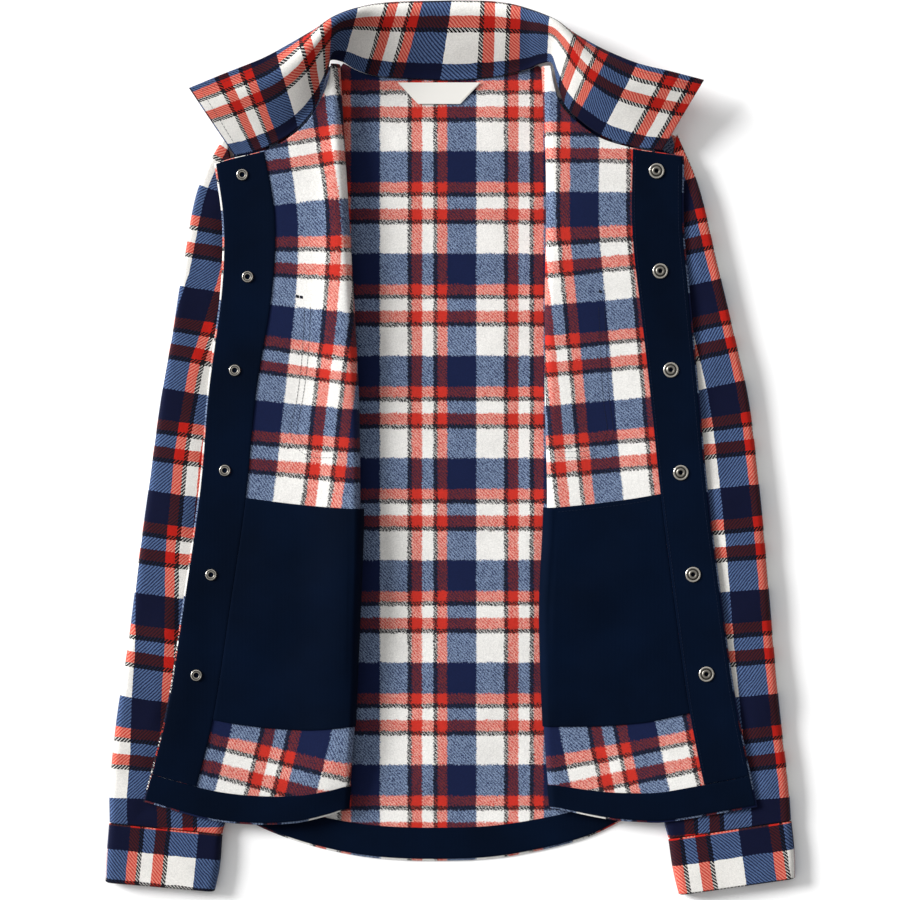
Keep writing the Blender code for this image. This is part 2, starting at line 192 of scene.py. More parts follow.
def linear(hexColour):
    # An sRGB hex colour as linear values
    parts = [int(hexColour[i:i + 2], 16) / 255 for i in (1, 3, 5)]
    return (*(c / 12.92 if c <= 0.04045 else ((c + 0.055) / 1.055) ** 2.4 for c in parts), 1.0)


def spline(points, places):
    # Smooth curve through the points, at shares of the way from the first to the last
    points = np.asarray(points, float)
    steps = len(points) - 1
    padded = np.vstack([2 * points[0] - points[1], points, 2 * points[-1] - points[-2]])
    along = np.clip(np.asarray(places, float), 0.0, 1.0) * steps
    start = np.minimum(along.astype(int), steps - 1)
    f = (along - start)[..., None]
    a, b, c, d = padded[start], padded[start + 1], padded[start + 2], padded[start + 3]
    return b + 0.5 * f * (c - a + f * (2 * a - 5 * b + 4 * c - d + f * (3 * b - a - 3 * c + d)))


def even(points, places):
    # The same curve, at shares of its length
    fine = np.linspace(0.0, 1.0, 161)
    drawn = spline(points, fine)
    length = np.concatenate([[0.0], np.cumsum(np.linalg.norm(np.diff(drawn, axis=0), axis=1))])
    return spline(points, np.interp(places, length / length[-1], fine))


def bow(points, places):
    # How far the curve lies off the straight line between its ends
    ends = np.asarray(points, float)[[0, -1]]
    share = np.asarray(places, float)[..., None]
    return even(points, places) - (ends[0] * (1 - share) + ends[1] * share)


def smooth(value):
    value = np.clip(value, 0.0, 1.0)
    return value * value * (3 - 2 * value)


def mixed(first, last, share):
    return first * (1 - share) + last * share


def unevenness(x, y, seed, shortest, longest):
    # Smooth irregular field between about -1 and 1
    rng = np.random.RandomState(seed)
    total = np.zeros(np.broadcast(x, y).shape)
    for _ in range(9):
        wave = rng.uniform(shortest, longest)
        turn = rng.uniform(0, math.pi)
        phase = rng.uniform(0, 2 * math.pi)
        total += np.sin((x * math.cos(turn) + y * math.sin(turn)) * 2 * math.pi / wave + phase)
    return total / 4.5


def creaseField(x, y, table):
    # Sum of soft ridges (height over 0) and troughs: x0, y0, x1, y1, width, height
    total = np.zeros(np.broadcast(x, y).shape)
    for number, (x0, y0, x1, y1, width, height) in enumerate(table):
        length = math.hypot(x1 - x0, y1 - y0)
        ax, ay = (x1 - x0) / length, (y1 - y0) / length
        along = (x - x0) * ax + (y - y0) * ay
        off = (y - y0) * ax - (x - x0) * ay
        off = off + 0.35 * width * np.sin(along / length * 5.1 + number * 1.7)
        begin = smooth((along + 0.2 * length) / (0.4 * length))
        ends = begin * smooth((1.2 * length - along) / (0.4 * length))
        total += height * np.exp(-(off / width) ** 2) * ends
    return total


def footCoordinates(line, x, y):
    # Distance across from a line, positive to its right, and distance along it
    line = np.asarray(line, float)
    fine = even(line, np.linspace(0, 1, 240))
    run = np.concatenate([[0.0], np.cumsum(np.linalg.norm(np.diff(fine, axis=0), axis=1))])
    way = np.gradient(fine, axis=0)
    way /= np.linalg.norm(way, axis=1, keepdims=True)
    flatX, flatY = np.ravel(x), np.ravel(y)
    across, along = np.empty(len(flatX)), np.empty(len(flatX))
    for part in np.array_split(np.arange(len(flatX)), max(1, len(flatX) // 4000)):
        dx = flatX[part, None] - fine[None, :, 0]
        dy = flatY[part, None] - fine[None, :, 1]
        near = np.argmin(dx * dx + dy * dy, axis=1)
        pick = np.arange(len(part))
        dx, dy, t = dx[pick, near], dy[pick, near], way[near]
        across[part] = dx * t[:, 1] - dy * t[:, 0]
        along[part] = run[near] + dx * t[:, 0] + dy * t[:, 1]
    return across.reshape(np.shape(x)), along.reshape(np.shape(x))


def meshObject(name, points, faces, grain, material):
    # The grain map holds each point's place in the check, in repeats, or how far a snap is rubbed
    name = name.replace(" ", "_")
    mesh = bpy.data.meshes.new(name)
    mesh.from_pydata(((points - middle) * mm).tolist(), [], faces.tolist())
    layer = mesh.uv_layers.new(name="grain")
    corners = np.empty(len(mesh.loops), int)
    mesh.loops.foreach_get("vertex_index", corners)
    layer.data.foreach_set("uv", grain[corners].ravel())
    mesh.materials.append(material)
    mesh.shade_smooth()
    made = bpy.data.objects.new(name, mesh)
    bpy.context.scene.collection.objects.link(made)
    return made


def surfaceNormals(grid):
    normals = np.cross(np.gradient(grid, axis=1), np.gradient(grid, axis=0))
    return normals / np.maximum(np.linalg.norm(normals, axis=-1, keepdims=True), 1e-9)


def clothShell(name, grid, grain, thickness, material):
    # A closed cloth with rounded edges, and the grid as its middle surface
    count, wide = grid.shape[:2]
    half = thickness / 2
    normals = surfaceNormals(grid)
    index = np.arange(count * wide).reshape(count, wide)
    loop = np.concatenate([index[0, :-1], index[:-1, -1], index[-1, :0:-1], index[:0:-1, 0]])
    flat, flatNormals, flatGrain = grid.reshape(-1, 3), normals.reshape(-1, 3), grain.reshape(-1, 2)
    edge, edgeNormals = flat[loop], flatNormals[loop]
    run = np.roll(edge, -1, axis=0) - np.roll(edge, 1, axis=0)
    outward = np.cross(run, edgeNormals)
    outward /= np.maximum(np.linalg.norm(outward, axis=1, keepdims=True), 1e-9)
    top, bottom = flat + flatNormals * half, flat - flatNormals * half
    rings = []
    for turn in np.radians([0, 45, 90, 135, 180]):
        rings.append(edge - outward * half * (1 - math.sin(turn)) + edgeNormals * half * math.cos(turn))
    top[loop], bottom[loop] = rings[0], rings[-1]
    quads = np.stack([index[:-1, :-1], index[:-1, 1:], index[1:, 1:], index[1:, :-1]], axis=-1).reshape(-1, 4)
    total, around = count * wide, len(loop)
    faces = [quads, quads[:, ::-1] + total]
    numbers = [loop] + [2 * total + around * k + np.arange(around) for k in range(3)] + [loop + total]
    for first, second in zip(numbers[:-1], numbers[1:]):
        faces.append(np.stack([first, second, np.roll(second, -1), np.roll(first, -1)], axis=-1))
    points = np.concatenate([top, bottom] + rings[1:4])
    uv = np.concatenate([flatGrain, flatGrain] + [flatGrain[loop]] * 3)
    made = meshObject(name, points, np.concatenate(faces), uv, material)
    return made, {"points": top, "normals": flatNormals}


def clothTube(name, outer, inner, grainOuter, material):
    # An open-ended tube between two sets of rings, with its ends closed over
    count, around = outer.shape[:2]
    lip = (outer + inner) / 2
    for row, nextRow in ((0, 1), (-1, -2)):
        way = outer[row] - outer[nextRow]
        way /= np.maximum(np.linalg.norm(way, axis=-1, keepdims=True), 1e-9)
        wall = np.linalg.norm(outer[row] - inner[row], axis=-1, keepdims=True)
        for rings in (outer, inner):
            rings[row] -= way * wall * 0.3
        lip[row] = (outer[row] + inner[row]) / 2 + way * wall * 0.3
    layers = [outer, inner, lip[[0, -1]]]
    points = np.concatenate([layer.reshape(-1, 3) for layer in layers])
    index = np.arange(count * around).reshape(count, around)
    total = count * around
    a, b = index[:-1], index[1:]
    shell = np.stack([a, b, np.roll(b, -1, 1), np.roll(a, -1, 1)], axis=-1).reshape(-1, 4)
    lips = 2 * total + np.arange(2 * around).reshape(2, around)
    faces = [shell, shell[:, ::-1] + total]
    for ring, lipRing, flip in ((index[0], lips[0], False), (index[-1], lips[1], True)):
        for first, second in ((lipRing, ring), (ring + total, lipRing)):
            band = np.stack([first, second, np.roll(second, -1), np.roll(first, -1)], axis=-1)
            faces.append(band[:, ::-1] if flip else band)
    faces = np.concatenate(faces)
    probe = points[shell[len(shell) // 2]]
    direction = np.cross(probe[1] - probe[0], probe[3] - probe[0])
    centre = outer[count // 2].mean(axis=0)
    if np.dot(direction, probe[0] - centre) < 0:
        faces = faces[:, ::-1]
    flat = grainOuter.reshape(-1, 2)
    grain = np.concatenate([flat, flat, grainOuter[[0, -1]].reshape(-1, 2)])
    return meshObject(name, points, faces, grain, material)


def upright(points, normals):
    # A surface to sew on, whose stitches all stand straight up
    return {"points": points, "normals": np.abs(normals) * (0, 0, 1) + (0, 0, 1e-6)}


def layOn(surface, spots):
    # Points on a surface under or over the given x, y, with the surface's normals there
    points, normals, heights = surface["points"], surface["normals"], []
    for spot in np.asarray(spots, float):
        apart = np.sum((points[:, :2] - spot) ** 2, axis=1) + 0.02
        near = np.argpartition(apart, 4)[:4]
        weight = 1 / apart[near]
        weight /= weight.sum()
        normal = weight @ normals[near]
        height = weight @ points[near][:, 2]
        heights.append([spot[0], spot[1], height, *(normal / np.linalg.norm(normal))])
    found = np.array(heights)
    return found[:, :3], found[:, 3:]


def densify(path, step):
    # The path as points a step apart
    path = np.asarray(path, float)
    run = np.concatenate([[0.0], np.cumsum(np.linalg.norm(np.diff(path, axis=0), axis=1))])
    places = np.arange(0.0, run[-1], step)
    return np.stack([np.interp(places, run, path[:, k]) for k in range(path.shape[1])], axis=1)


# Rings of a stitch: place along it, then rise and girth in thread radii
stitchLook = {
    "rings": [(0.0, -1.0, 0.55), (0.2, 0.45, 1.0), (0.5, 0.75, 1.0), (0.8, 0.45, 1.0), (1.0, -1.0, 0.55)],
    "corners": 6,
    "shift": 0.1,   # mm that a stitch may slip along its line
}


def stitchRow(name, lines, material, stitch):
    # Sewing along lines of (points, normals), one small rounded stitch after another
    length, gap, radius = stitch
    rng = np.random.RandomState(len(name))
    along, rise, girth = np.array(stitchLook["rings"]).T
    corners, slip = stitchLook["corners"], stitchLook["shift"]
    turns = np.linspace(0, 2 * math.pi, corners, endpoint=False)
    lastRing = corners * (len(along) - 1)
    # two four-sided faces close each end
    caps = [(0, (0, 5, 4, 3)), (0, (3, 2, 1, 0)), (lastRing, (0, 1, 2, 3)), (lastRing, (3, 4, 5, 0))]
    points, faces = [], []
    for path, normals in lines:
        run = np.concatenate([[0.0], np.cumsum(np.linalg.norm(np.diff(path, axis=0), axis=1))])
        for start in np.arange(0.0, run[-1] - length, length + gap):
            places = start + length * along + rng.uniform(-slip, slip)
            centre = np.stack([np.interp(places, run, path[:, k]) for k in range(3)], axis=1)
            up = np.array([np.interp(places[2], run, normals[:, k]) for k in range(3)])
            way = centre[-1] - centre[0]
            way /= np.linalg.norm(way)
            side = np.cross(up, way)
            side /= np.linalg.norm(side)
            first = len(points)
            for place, height, size in zip(centre, radius * rise, radius * girth):
                for turn in turns:
                    points.append(place + up * height + size * (side * math.cos(turn) + up * math.sin(turn)))
            for low in range(first, first + lastRing, corners):
                for corner in range(corners):
                    after = (corner + 1) % corners
                    high = low + corners
                    faces.append((low + corner, low + after, high + after, high + corner))
            for base, order in caps:
                faces.append(tuple(first + base + corner for corner in order))
    points, faces = np.array(points), np.array(faces)
    return meshObject(name, points, faces, np.zeros((len(points), 2)), material)


# Materials

def perMetre(size):
    # Scale of a noise whose blotches are so many millimetres wide
    return 1 / (size * mm)


def bandScale(spacing, radiansInUnit=20.0):
    # Scale of a wave texture with a band every so many millimetres
    return 2 * math.pi / (radiansInUnit * spacing * mm)


def addNode(tree, kind, inputs=None, **settings):
    # An input takes a value, an output, or a node, which stands for its first output
    node = tree.nodes.new("ShaderNode" + kind)
    for name, value in settings.items():
        setattr(node, name, value)
    for name, value in (inputs or {}).items():
        if isinstance(value, bpy.types.Node):
            value = value.outputs[0]
        if isinstance(value, bpy.types.NodeSocket):
            tree.links.new(value, node.inputs[name])
        else:
            node.inputs[name].default_value = value
    return node


def newMaterial(name, surface):
    # Surface gives the values of the Principled BSDF that differ from its own
    material = bpy.data.materials.new(name)
    material.use_nodes = True
    tree = material.node_tree
    shader = tree.nodes["Principled BSDF"]
    for name, value in surface.items():
        shader.inputs[name].default_value = value
    return material, tree, shader


# The check: colours and their shares of one repeat, in the order they are woven
check = {
    "colours": {"navy": "#0E1739", "red": "#C82A20", "black": "#0E0C11", "cream": "#F6F4F0"},
    # colour that each yarn's loose fibres give its neighbours; black sheds none
    "tints": {"navy": "#172D62", "red": "#D64A38", "black": "#F6F4F0", "cream": "#F6F4F0"},
    # white marks the black yarns, which are thicker than the others
    "thick": {"navy": "#000000", "red": "#000000", "black": "#FFFFFF", "cream": "#000000"},
    "stripes": [
        ("navy", 0.30), ("red", 0.106), ("black", 0.042), ("cream", 0.117),
        ("red", 0.106), ("black", 0.042), ("cream", 0.287),
    ],
    "repeat": 90.0,           # mm, and 86 to 94 in the single pieces
    "yarnsInRepeat": 112.0,   # so a yarn is 0.8 mm wide
    "sway": (10.0, 2.4),      # mm between the yarns' slow bends, and yarns that they bend
    "cloud": 18.0,            # mm across the darker and lighter clouds
    "mottle": 0.10,           # how much darker and lighter they are
    "yarnLevel": (0.135, 0.755),   # spread between single yarns, over the darkest one's level
    "hairs": 0.8,             # how high the loose fibres stand, beside the yarns' relief
    "bump": (0.55, 0.35),     # strength, and mm from the yarns' tops to the hollows between them
}
# Fuzz, in yarns, brushes the yarns' edges into each other. Fibres are mm across, drawn as tufts
# because single ones are too fine to show. Tint is the share of the crossing yarn's colour,
# heather is the fibres' contrast, and depth over 1 darkens the dyes.
plaidLooks = {
    "plaid twill outside": {
        "fuzz": 1.6, "fibres": 0.6, "relief": 1.0, "tint": 0.36, "heather": 0.45, "depth": 1.32,
    },
    "brushed plaid inside": {
        "fuzz": 9.0, "fibres": 1.2, "relief": 0.45, "tint": 0.27, "heather": 0.75, "depth": 1.0,
    },
}
knitLook = {
    "darkest": "#00040E",
    "lightest": "#021027",
    "cloud": 71.43,     # mm across its clouds
    "rib": 1.2083,      # mm between ribs, as coarse as they need to show
    "yarn": 0.6667,     # mm, coarser than the real one so that it shows
}
satinLook = {
    "colour": "#DFDDD8",
    "rib": 0.349,       # real weft ribs are some 0.1 mm apart, too fine to show
}
nickelLook = {
    "recess": "#1D1A15",
    "rubbed": "#D2CDC3",
    "wear": 2.381,      # mm across the patches of wear
}
threadLook = {
    "twist": 0.403,     # mm between the turns of the yarns
    "dark": "#191A26",
    "navy": "#0A152B",
    "undyed": "#D9D3C6",
}


def stripeColour(tree, yarn, colours):
    # The colour of each yarn across one repeat
    share = addNode(tree, "Math", {0: yarn, 1: 0.5}, operation="ADD")
    share = addNode(tree, "Math", {0: share, 1: check["yarnsInRepeat"]}, operation="DIVIDE")
    share = addNode(tree, "Math", {0: share}, operation="FRACT")
    ramp = addNode(tree, "ValToRGB", {"Fac": share})
    ramp.color_ramp.interpolation = "CONSTANT"
    place = 0.0
    for number, (colour, width) in enumerate(check["stripes"]):
        if number < 2:
            stop = ramp.color_ramp.elements[number]
            stop.position = place
        else:
            stop = ramp.color_ramp.elements.new(place)
        stop.color = linear(colours[colour])
        place += width
    return ramp


def plaidMaterial(name):
    # Wool-like twill woven from dyed yarns, matt. Every yarn keeps its colour, and two yarns over
    # and two under give the diagonal lines and the toothed edges of the stripes. The inside is
    # napped and soft, and the outside is firm and deeper in colour.
    look = plaidLooks[name]
    material, tree, shader = newMaterial(name, {
        "Roughness": 0.95, "Specular IOR Level": 0.15, "Sheen Weight": 0.03, "Sheen Roughness": 0.45,
    })
    grain = addNode(tree, "UVMap", uv_map="grain")
    bends, bendWidth = check["sway"]
    sway = addNode(tree, "TexNoise", {"Vector": grain, "Scale": check["repeat"] / bends, "Detail": 3.0})
    fibre = addNode(tree, "TexNoise", {
        "Vector": grain, "Scale": check["repeat"] / look["fibres"], "Detail": 4.0, "Roughness": 0.7,
    })
    grey = (0.5, 0.5, 0.5)
    sway = addNode(tree, "VectorMath", {0: sway.outputs["Color"], 1: grey}, operation="SUBTRACT")
    sway = addNode(tree, "VectorMath", {0: sway, "Scale": bendWidth}, operation="SCALE")
    hair = addNode(tree, "VectorMath", {0: fibre.outputs["Color"], 1: grey}, operation="SUBTRACT")
    hair = addNode(tree, "VectorMath", {0: hair, "Scale": look["fuzz"]}, operation="SCALE")
    yarns = addNode(tree, "VectorMath", {0: grain, "Scale": check["yarnsInRepeat"]}, operation="SCALE")
    yarns = addNode(tree, "VectorMath", {0: yarns, 1: sway}, operation="ADD")
    yarns = addNode(tree, "VectorMath", {0: yarns, 1: hair}, operation="ADD")
    split = addNode(tree, "SeparateXYZ", {0: yarns})
    warp = addNode(tree, "Math", {0: split.outputs["X"]}, operation="FLOOR")
    weft = addNode(tree, "Math", {0: split.outputs["Y"]}, operation="FLOOR")
    # the share within four yarns, kept over zero by a whole number of fours
    order = addNode(tree, "Math", {0: warp, 1: weft}, operation="ADD")
    order = addNode(tree, "Math", {0: order, 1: 4096.0}, operation="ADD")
    order = addNode(tree, "Math", {0: order, 1: 4.0}, operation="DIVIDE")
    order = addNode(tree, "Math", {0: order}, operation="FRACT")
    # black yarns are thick and show over three yarns in four, so they keep a solid line with teeth
    thickWarp = stripeColour(tree, warp, check["thick"])
    thickWeft = stripeColour(tree, weft, check["thick"])
    thick = addNode(tree, "Math", {0: thickWarp, 1: thickWeft}, operation="SUBTRACT")
    limit = addNode(tree, "Math", {0: thick, 1: 0.25, 2: 0.49}, operation="MULTIPLY_ADD")
    over = addNode(tree, "Math", {0: order, 1: limit}, operation="LESS_THAN")
    # fibres of the crossing yarn lie in each visible yarn and tint it
    warpDye = stripeColour(tree, warp, check["colours"])
    weftDye = stripeColour(tree, weft, check["colours"])
    warpTint = stripeColour(tree, warp, check["tints"])
    weftTint = stripeColour(tree, weft, check["tints"])
    own = addNode(tree, "Mix", {0: over, 6: weftDye, 7: warpDye}, data_type="RGBA")
    under = addNode(tree, "Mix", {0: over, 6: warpTint, 7: weftTint}, data_type="RGBA")
    own = addNode(tree, "Gamma", {"Color": own.outputs[2], "Gamma": 1 - look["tint"]})
    under = addNode(tree, "Gamma", {"Color": under.outputs[2], "Gamma": look["tint"]})
    woven = addNode(tree, "Mix", {0: 1.0, 6: own, 7: under}, data_type="RGBA", blend_type="MULTIPLY")
    # each yarn is dyed and lit a little differently
    spread, darkest = check["yarnLevel"]
    each = addNode(tree, "CombineXYZ", {"X": warp, "Y": weft, "Z": over})
    chance = addNode(tree, "TexWhiteNoise", {"Vector": each}).outputs["Value"]
    level = addNode(tree, "Math", {0: chance, 1: spread, 2: darkest}, operation="MULTIPLY_ADD")
    cloudScale = check["repeat"] / check["cloud"]
    cloud = addNode(tree, "TexNoise", {"Vector": grain, "Scale": cloudScale, "Detail": 4.0})
    mottle, heather = check["mottle"], look["heather"]
    cloud = addNode(tree, "Math", {
        0: cloud.outputs["Fac"], 1: mottle * 2, 2: 1 - mottle,
    }, operation="MULTIPLY_ADD")
    speckle = addNode(tree, "Math", {
        0: fibre.outputs["Fac"], 1: heather, 2: 1 - heather / 2,
    }, operation="MULTIPLY_ADD")
    level = addNode(tree, "Math", {0: level, 1: cloud}, operation="MULTIPLY")
    level = addNode(tree, "Math", {0: level, 1: speckle}, operation="MULTIPLY")
    deep = addNode(tree, "Gamma", {"Color": woven.outputs[2], "Gamma": look["depth"]})
    shade = addNode(tree, "VectorMath", {0: deep, "Scale": level}, operation="SCALE")
    tree.links.new(shade.outputs[0], shader.inputs["Base Color"])
    # round yarns, with loose fibres over them
    roundness = []
    for socket in (split.outputs["X"], split.outputs["Y"]):
        off = addNode(tree, "Math", {0: socket}, operation="FRACT")
        off = addNode(tree, "Math", {0: off, 1: 0.5}, operation="SUBTRACT")
        off = addNode(tree, "Math", {0: off, 1: off}, operation="MULTIPLY")
        off = addNode(tree, "Math", {0: off, 1: 4.0}, operation="MULTIPLY")
        roundness.append(addNode(tree, "Math", {0: 1.0, 1: off}, operation="SUBTRACT"))
    yarnTop = addNode(tree, "Mix", {0: over, 2: roundness[1], 3: roundness[0]})
    yarnTop = addNode(tree, "Math", {0: yarnTop, 1: look["relief"]}, operation="MULTIPLY")
    hairTop = addNode(tree, "Math", {0: fibre.outputs["Fac"], 1: check["hairs"]}, operation="MULTIPLY")
    height = addNode(tree, "Math", {0: yarnTop, 1: hairTop}, operation="ADD")
    strength, deepest = check["bump"]
    bump = addNode(tree, "Bump", {"Height": height, "Strength": strength, "Distance": deepest * mm})
    tree.links.new(bump.outputs[0], shader.inputs["Normal"])
    return material


def knitMaterial():
    # Smooth navy knit lining: dull, with a faint vertical rib and a cool bloom at grazing angles
    material, tree, shader = newMaterial("navy knit lining", {
        "Roughness": 0.8,
        "Specular IOR Level": 0.04,
        "Sheen Weight": 0.004,
        "Sheen Tint": (0.35, 0.6, 1.0, 1.0),
        "Sheen Roughness": 0.4,
    })
    place = addNode(tree, "TexCoord").outputs["Object"]
    cloud = addNode(tree, "TexNoise", {"Vector": place, "Scale": perMetre(knitLook["cloud"]), "Detail": 5.0})
    tone = addNode(tree, "Mix", {
        0: cloud.outputs["Fac"], 6: linear(knitLook["darkest"]), 7: linear(knitLook["lightest"]),
    }, data_type="RGBA")
    tree.links.new(tone.outputs[2], shader.inputs["Base Color"])
    rib = addNode(tree, "TexWave", {
        "Vector": place, "Scale": bandScale(knitLook["rib"]), "Distortion": 0.6, "Detail": 1.0,
    })
    fine = addNode(tree, "TexNoise", {"Vector": place, "Scale": perMetre(knitLook["yarn"]), "Detail": 2.0})
    height = addNode(tree, "Math", {0: rib.outputs["Fac"], 1: fine.outputs["Fac"]}, operation="ADD")
    bump = addNode(tree, "Bump", {"Height": height, "Strength": 0.25, "Distance": 0.2 * mm})
    tree.links.new(bump.outputs[0], shader.inputs["Normal"])
    return material


def satinMaterial():
    # White woven satin label: fine weft ribs give a soft silky light
    material, tree, shader = newMaterial("white satin label", {
        "Base Color": linear(satinLook["colour"]), "Roughness": 0.42, "Sheen Weight": 0.1,
    })
    place = addNode(tree, "TexCoord").outputs["Object"]
    rib = addNode(tree, "TexWave", {
        "Vector": place, "Scale": bandScale(satinLook["rib"]), "Distortion": 0.3,
    }, bands_direction="Y")
    bump = addNode(tree, "Bump", {"Height": rib.outputs["Fac"], "Strength": 0.2, "Distance": 0.1 * mm})
    tree.links.new(bump.outputs[0], shader.inputs["Normal"])
    return material


def nickelMaterial():
    # Antique nickel over brass: bright where rubbed, dark and rougher in the recesses.
    # The grain map holds how far each turned ring is rubbed.
    material, tree, shader = newMaterial("antique nickel snap", {"Metallic": 1.0})
    place = addNode(tree, "TexCoord").outputs["Object"]
    rubbed = addNode(tree, "SeparateXYZ", {0: addNode(tree, "UVMap", uv_map="grain")})
    wear = addNode(tree, "TexNoise", {"Vector": place, "Scale": perMetre(nickelLook["wear"]), "Detail": 4.0})
    wear = addNode(tree, "Math", {0: wear.outputs["Fac"], 1: 0.45}, operation="ADD")
    shine = addNode(tree, "Math", {0: rubbed.outputs["X"], 1: wear}, operation="MULTIPLY")
    tone = addNode(tree, "Mix", {
        0: shine, 6: linear(nickelLook["recess"]), 7: linear(nickelLook["rubbed"]),
    }, data_type="RGBA")
    tree.links.new(tone.outputs[2], shader.inputs["Base Color"])
    dull = addNode(tree, "Math", {0: shine, 1: -0.3, 2: 0.5}, operation="MULTIPLY_ADD")
    tree.links.new(dull.outputs[0], shader.inputs["Roughness"])
    return material


def threadMaterial(name, colour):
    # Twisted polyester sewing thread: slightly glossy, with a fine twist
    material, tree, shader = newMaterial(name, {
        "Base Color": linear(colour), "Roughness": 0.6, "Specular IOR Level": 0.12,
    })
    place = addNode(tree, "TexCoord").outputs["Object"]
    scale = bandScale(threadLook["twist"], 10 * math.sqrt(3))   # radians along the diagonal
    twist = addNode(tree, "TexWave", {"Vector": place, "Scale": scale}, bands_direction="DIAGONAL")
    bump = addNode(tree, "Bump", {"Height": twist.outputs["Fac"], "Strength": 0.3, "Distance": 0.1 * mm})
    tree.links.new(bump.outputs[0], shader.inputs["Normal"])
    return material


twill = plaidMaterial("plaid twill outside")
brushed = plaidMaterial("brushed plaid inside")
knit = knitMaterial()
satin = satinMaterial()
nickel = nickelMaterial()
darkThread = threadMaterial("dark sewing thread", threadLook["dark"])
navyThread = threadMaterial("navy sewing thread", threadLook["navy"])
paleThread = threadMaterial("undyed sewing thread", threadLook["undyed"])
print("materials done", flush=True)


# Back

backLook = {
    "columns": 150,
    "rows": 236,
    "swell": 1.1,                  # mm that the cloth rises where no front lies on it
    "freeHalfWidth": 72,
    "freeFromTo": (-345, 330),
    "facingColumns": (0.03, 0.97, 150),
    "facingRows": (0.0022, backHemBand, 10),
    "neckSeamTop": 11.5,           # the collar's seam lies on the back below this height
}
backGrain = {"across": (0.27, -87.0), "up": (0.92, -92.3)}   # share at the origin, mm for one repeat


def shares(value, setting):
    # Where a place in mm lies in the check, in repeats
    return setting[0] + value / setting[1]


def grainShares(u, v, setting):
    # Shares of a repeat, with the cloth's slight pull along the piece
    across, up = shares(u, setting["across"]), shares(v, setting["up"])
    if "places" in setting:
        across = across + np.interp(v, setting["places"], setting["acrossDrift"])
        up = up + np.interp(v, setting["places"], setting["upDrift"])
    return np.stack([across, up], axis=-1)


def navyPiece(name, grid):
    # A facing or a bag, whose knit takes its pattern from the object's own coordinates
    return clothShell(name, grid, grid[..., :2] * mm, facing, knit)


def backPoints(across, rows, lift=0.0):
    # Middle surface of the back, from its left to its right side and from the hem to the neck
    left, right = spline(sides["left"], rows)[:, None], spline(sides["right"], rows)[:, None]
    share = across[None, :, None]
    up = rows[:, None, None]
    tipL, tipR = np.array(sides["left"][-1], float), np.array(sides["right"][-1], float)
    neckL, neckR = np.array(backNeck[0], float), np.array(backNeck[-1], float)
    top = even(backNeck, (across - shoulderShare) / (1 - 2 * shoulderShare))
    first, last = across[:, None] / shoulderShare, (1 - across[:, None]) / shoulderShare
    top = np.where(first < 1, mixed(tipL, neckL, first), top)
    top = np.where(last < 1, mixed(tipR, neckR, last), top)
    topBow = top - mixed(tipL, tipR, across[:, None])
    flat = mixed(left, right, share) + bow(backHem, across) * (1 - up) ** 4 + topBow * up ** 4
    x, y = flat[..., 0], flat[..., 1]
    # the cloth swells a little where no front lies on it
    lowest, highest = backLook["freeFromTo"]
    free = smooth((backLook["freeHalfWidth"] - np.abs(x)) / 30)
    free = free * smooth((y - lowest) / 60) * smooth((highest - y) / 60)
    swell = backLook["swell"] * free * (0.8 + unevenness(x, y, 4, 110, 260))
    height = cloth / 2 + lift + np.maximum(swell, 0.0)
    return np.concatenate([flat, height[..., None]], axis=-1)


grid = backPoints(np.linspace(0, 1, backLook["columns"]), np.linspace(0, 1, backLook["rows"]))
# the neck edge runs up to the collar's seam, so that no table shows between them
seamLine = spline(collar, np.linspace(0, 1, 240))
seamLine = seamLine[seamLine[:, 2] < backLook["neckSeamTop"]]
neckX = grid[-1, :, 0]
atCollar = (neckX > seamLine[0, 0]) & (neckX < seamLine[-1, 0])
seamY = np.interp(neckX, seamLine[:, 0], seamLine[:, 1]) - 0.1
grid[-1, :, 1] = np.where(atCollar, seamY, grid[-1, :, 1])
grain = np.stack([shares(grid[..., 0], backGrain["across"]), shares(grid[..., 1], backGrain["up"])], axis=-1)
back, _ = clothShell("shacket_back", grid, grain, shellWall, brushed)
band = backPoints(np.linspace(*backLook["facingColumns"]), np.linspace(*backLook["facingRows"]), facingLift)
hemBack, _ = navyPiece("back hem facing", band)
print("back done", flush=True)


# Fronts

frontLook = {
    "rows": 210,
    "lapelColumns": 62,
    "ripple": 0.55,
    "roll": {"left": 8.4, "right": 1.0},   # mm that the cloth stands up along the fold
    "rollWidth": 0.24,                     # its width, as a share of the turned-back layer
    "foldGirth": 19.0,                     # mm of cloth round the fold
    "facingSwell": 0.25,
    "bagPuff": 1.1,
    "creases": {
        "left": [
            (-130, 300, -120, 60, 26, 1.3),
            (-175, 250, -190, 60, 22, -0.9),
            (-110, 120, -160, -20, 20, -0.8),
            (-150, -60, -190, -250, 26, 1.0),
            (-100, -120, -120, -300, 22, 0.9),
            (-232, -120, -252, -280, 14, 0.8),
        ],
        "right": [
            (120, 300, 118, 40, 26, 1.2),
            (180, 260, 190, 80, 20, -0.9),
            (110, 80, 160, -30, 20, -0.8),
            (160, -60, 196, -250, 26, 1.0),
            (110, -120, 122, -300, 20, -0.7),
            (238, -80, 256, -270, 14, 0.8),
        ],
    },
}
# Grain of each front: share at the front edge and mm a repeat across, then up along that edge
frontGrain = {
    "left": {
        "across": (0.77, -88.5),
        "up": (0.15, -88.5),
        "places": (55, 310, 380, 460, 540),
        "acrossDrift": (-0.09, 0.0, 0.02, 0.0, 0.0),
        "upDrift": (-0.02, -0.01, 0.04, 0.01, -0.09),
    },
    "right": {
        "across": (0.112, -86.0),
        "up": (0.183, -90.0),
        "places": (55, 310),
        "acrossDrift": (0.025, 0.0),
        "upDrift": (0.0, 0.0),
    },
}
firstRow = 1 / 7   # share of a front's length between its first two rows


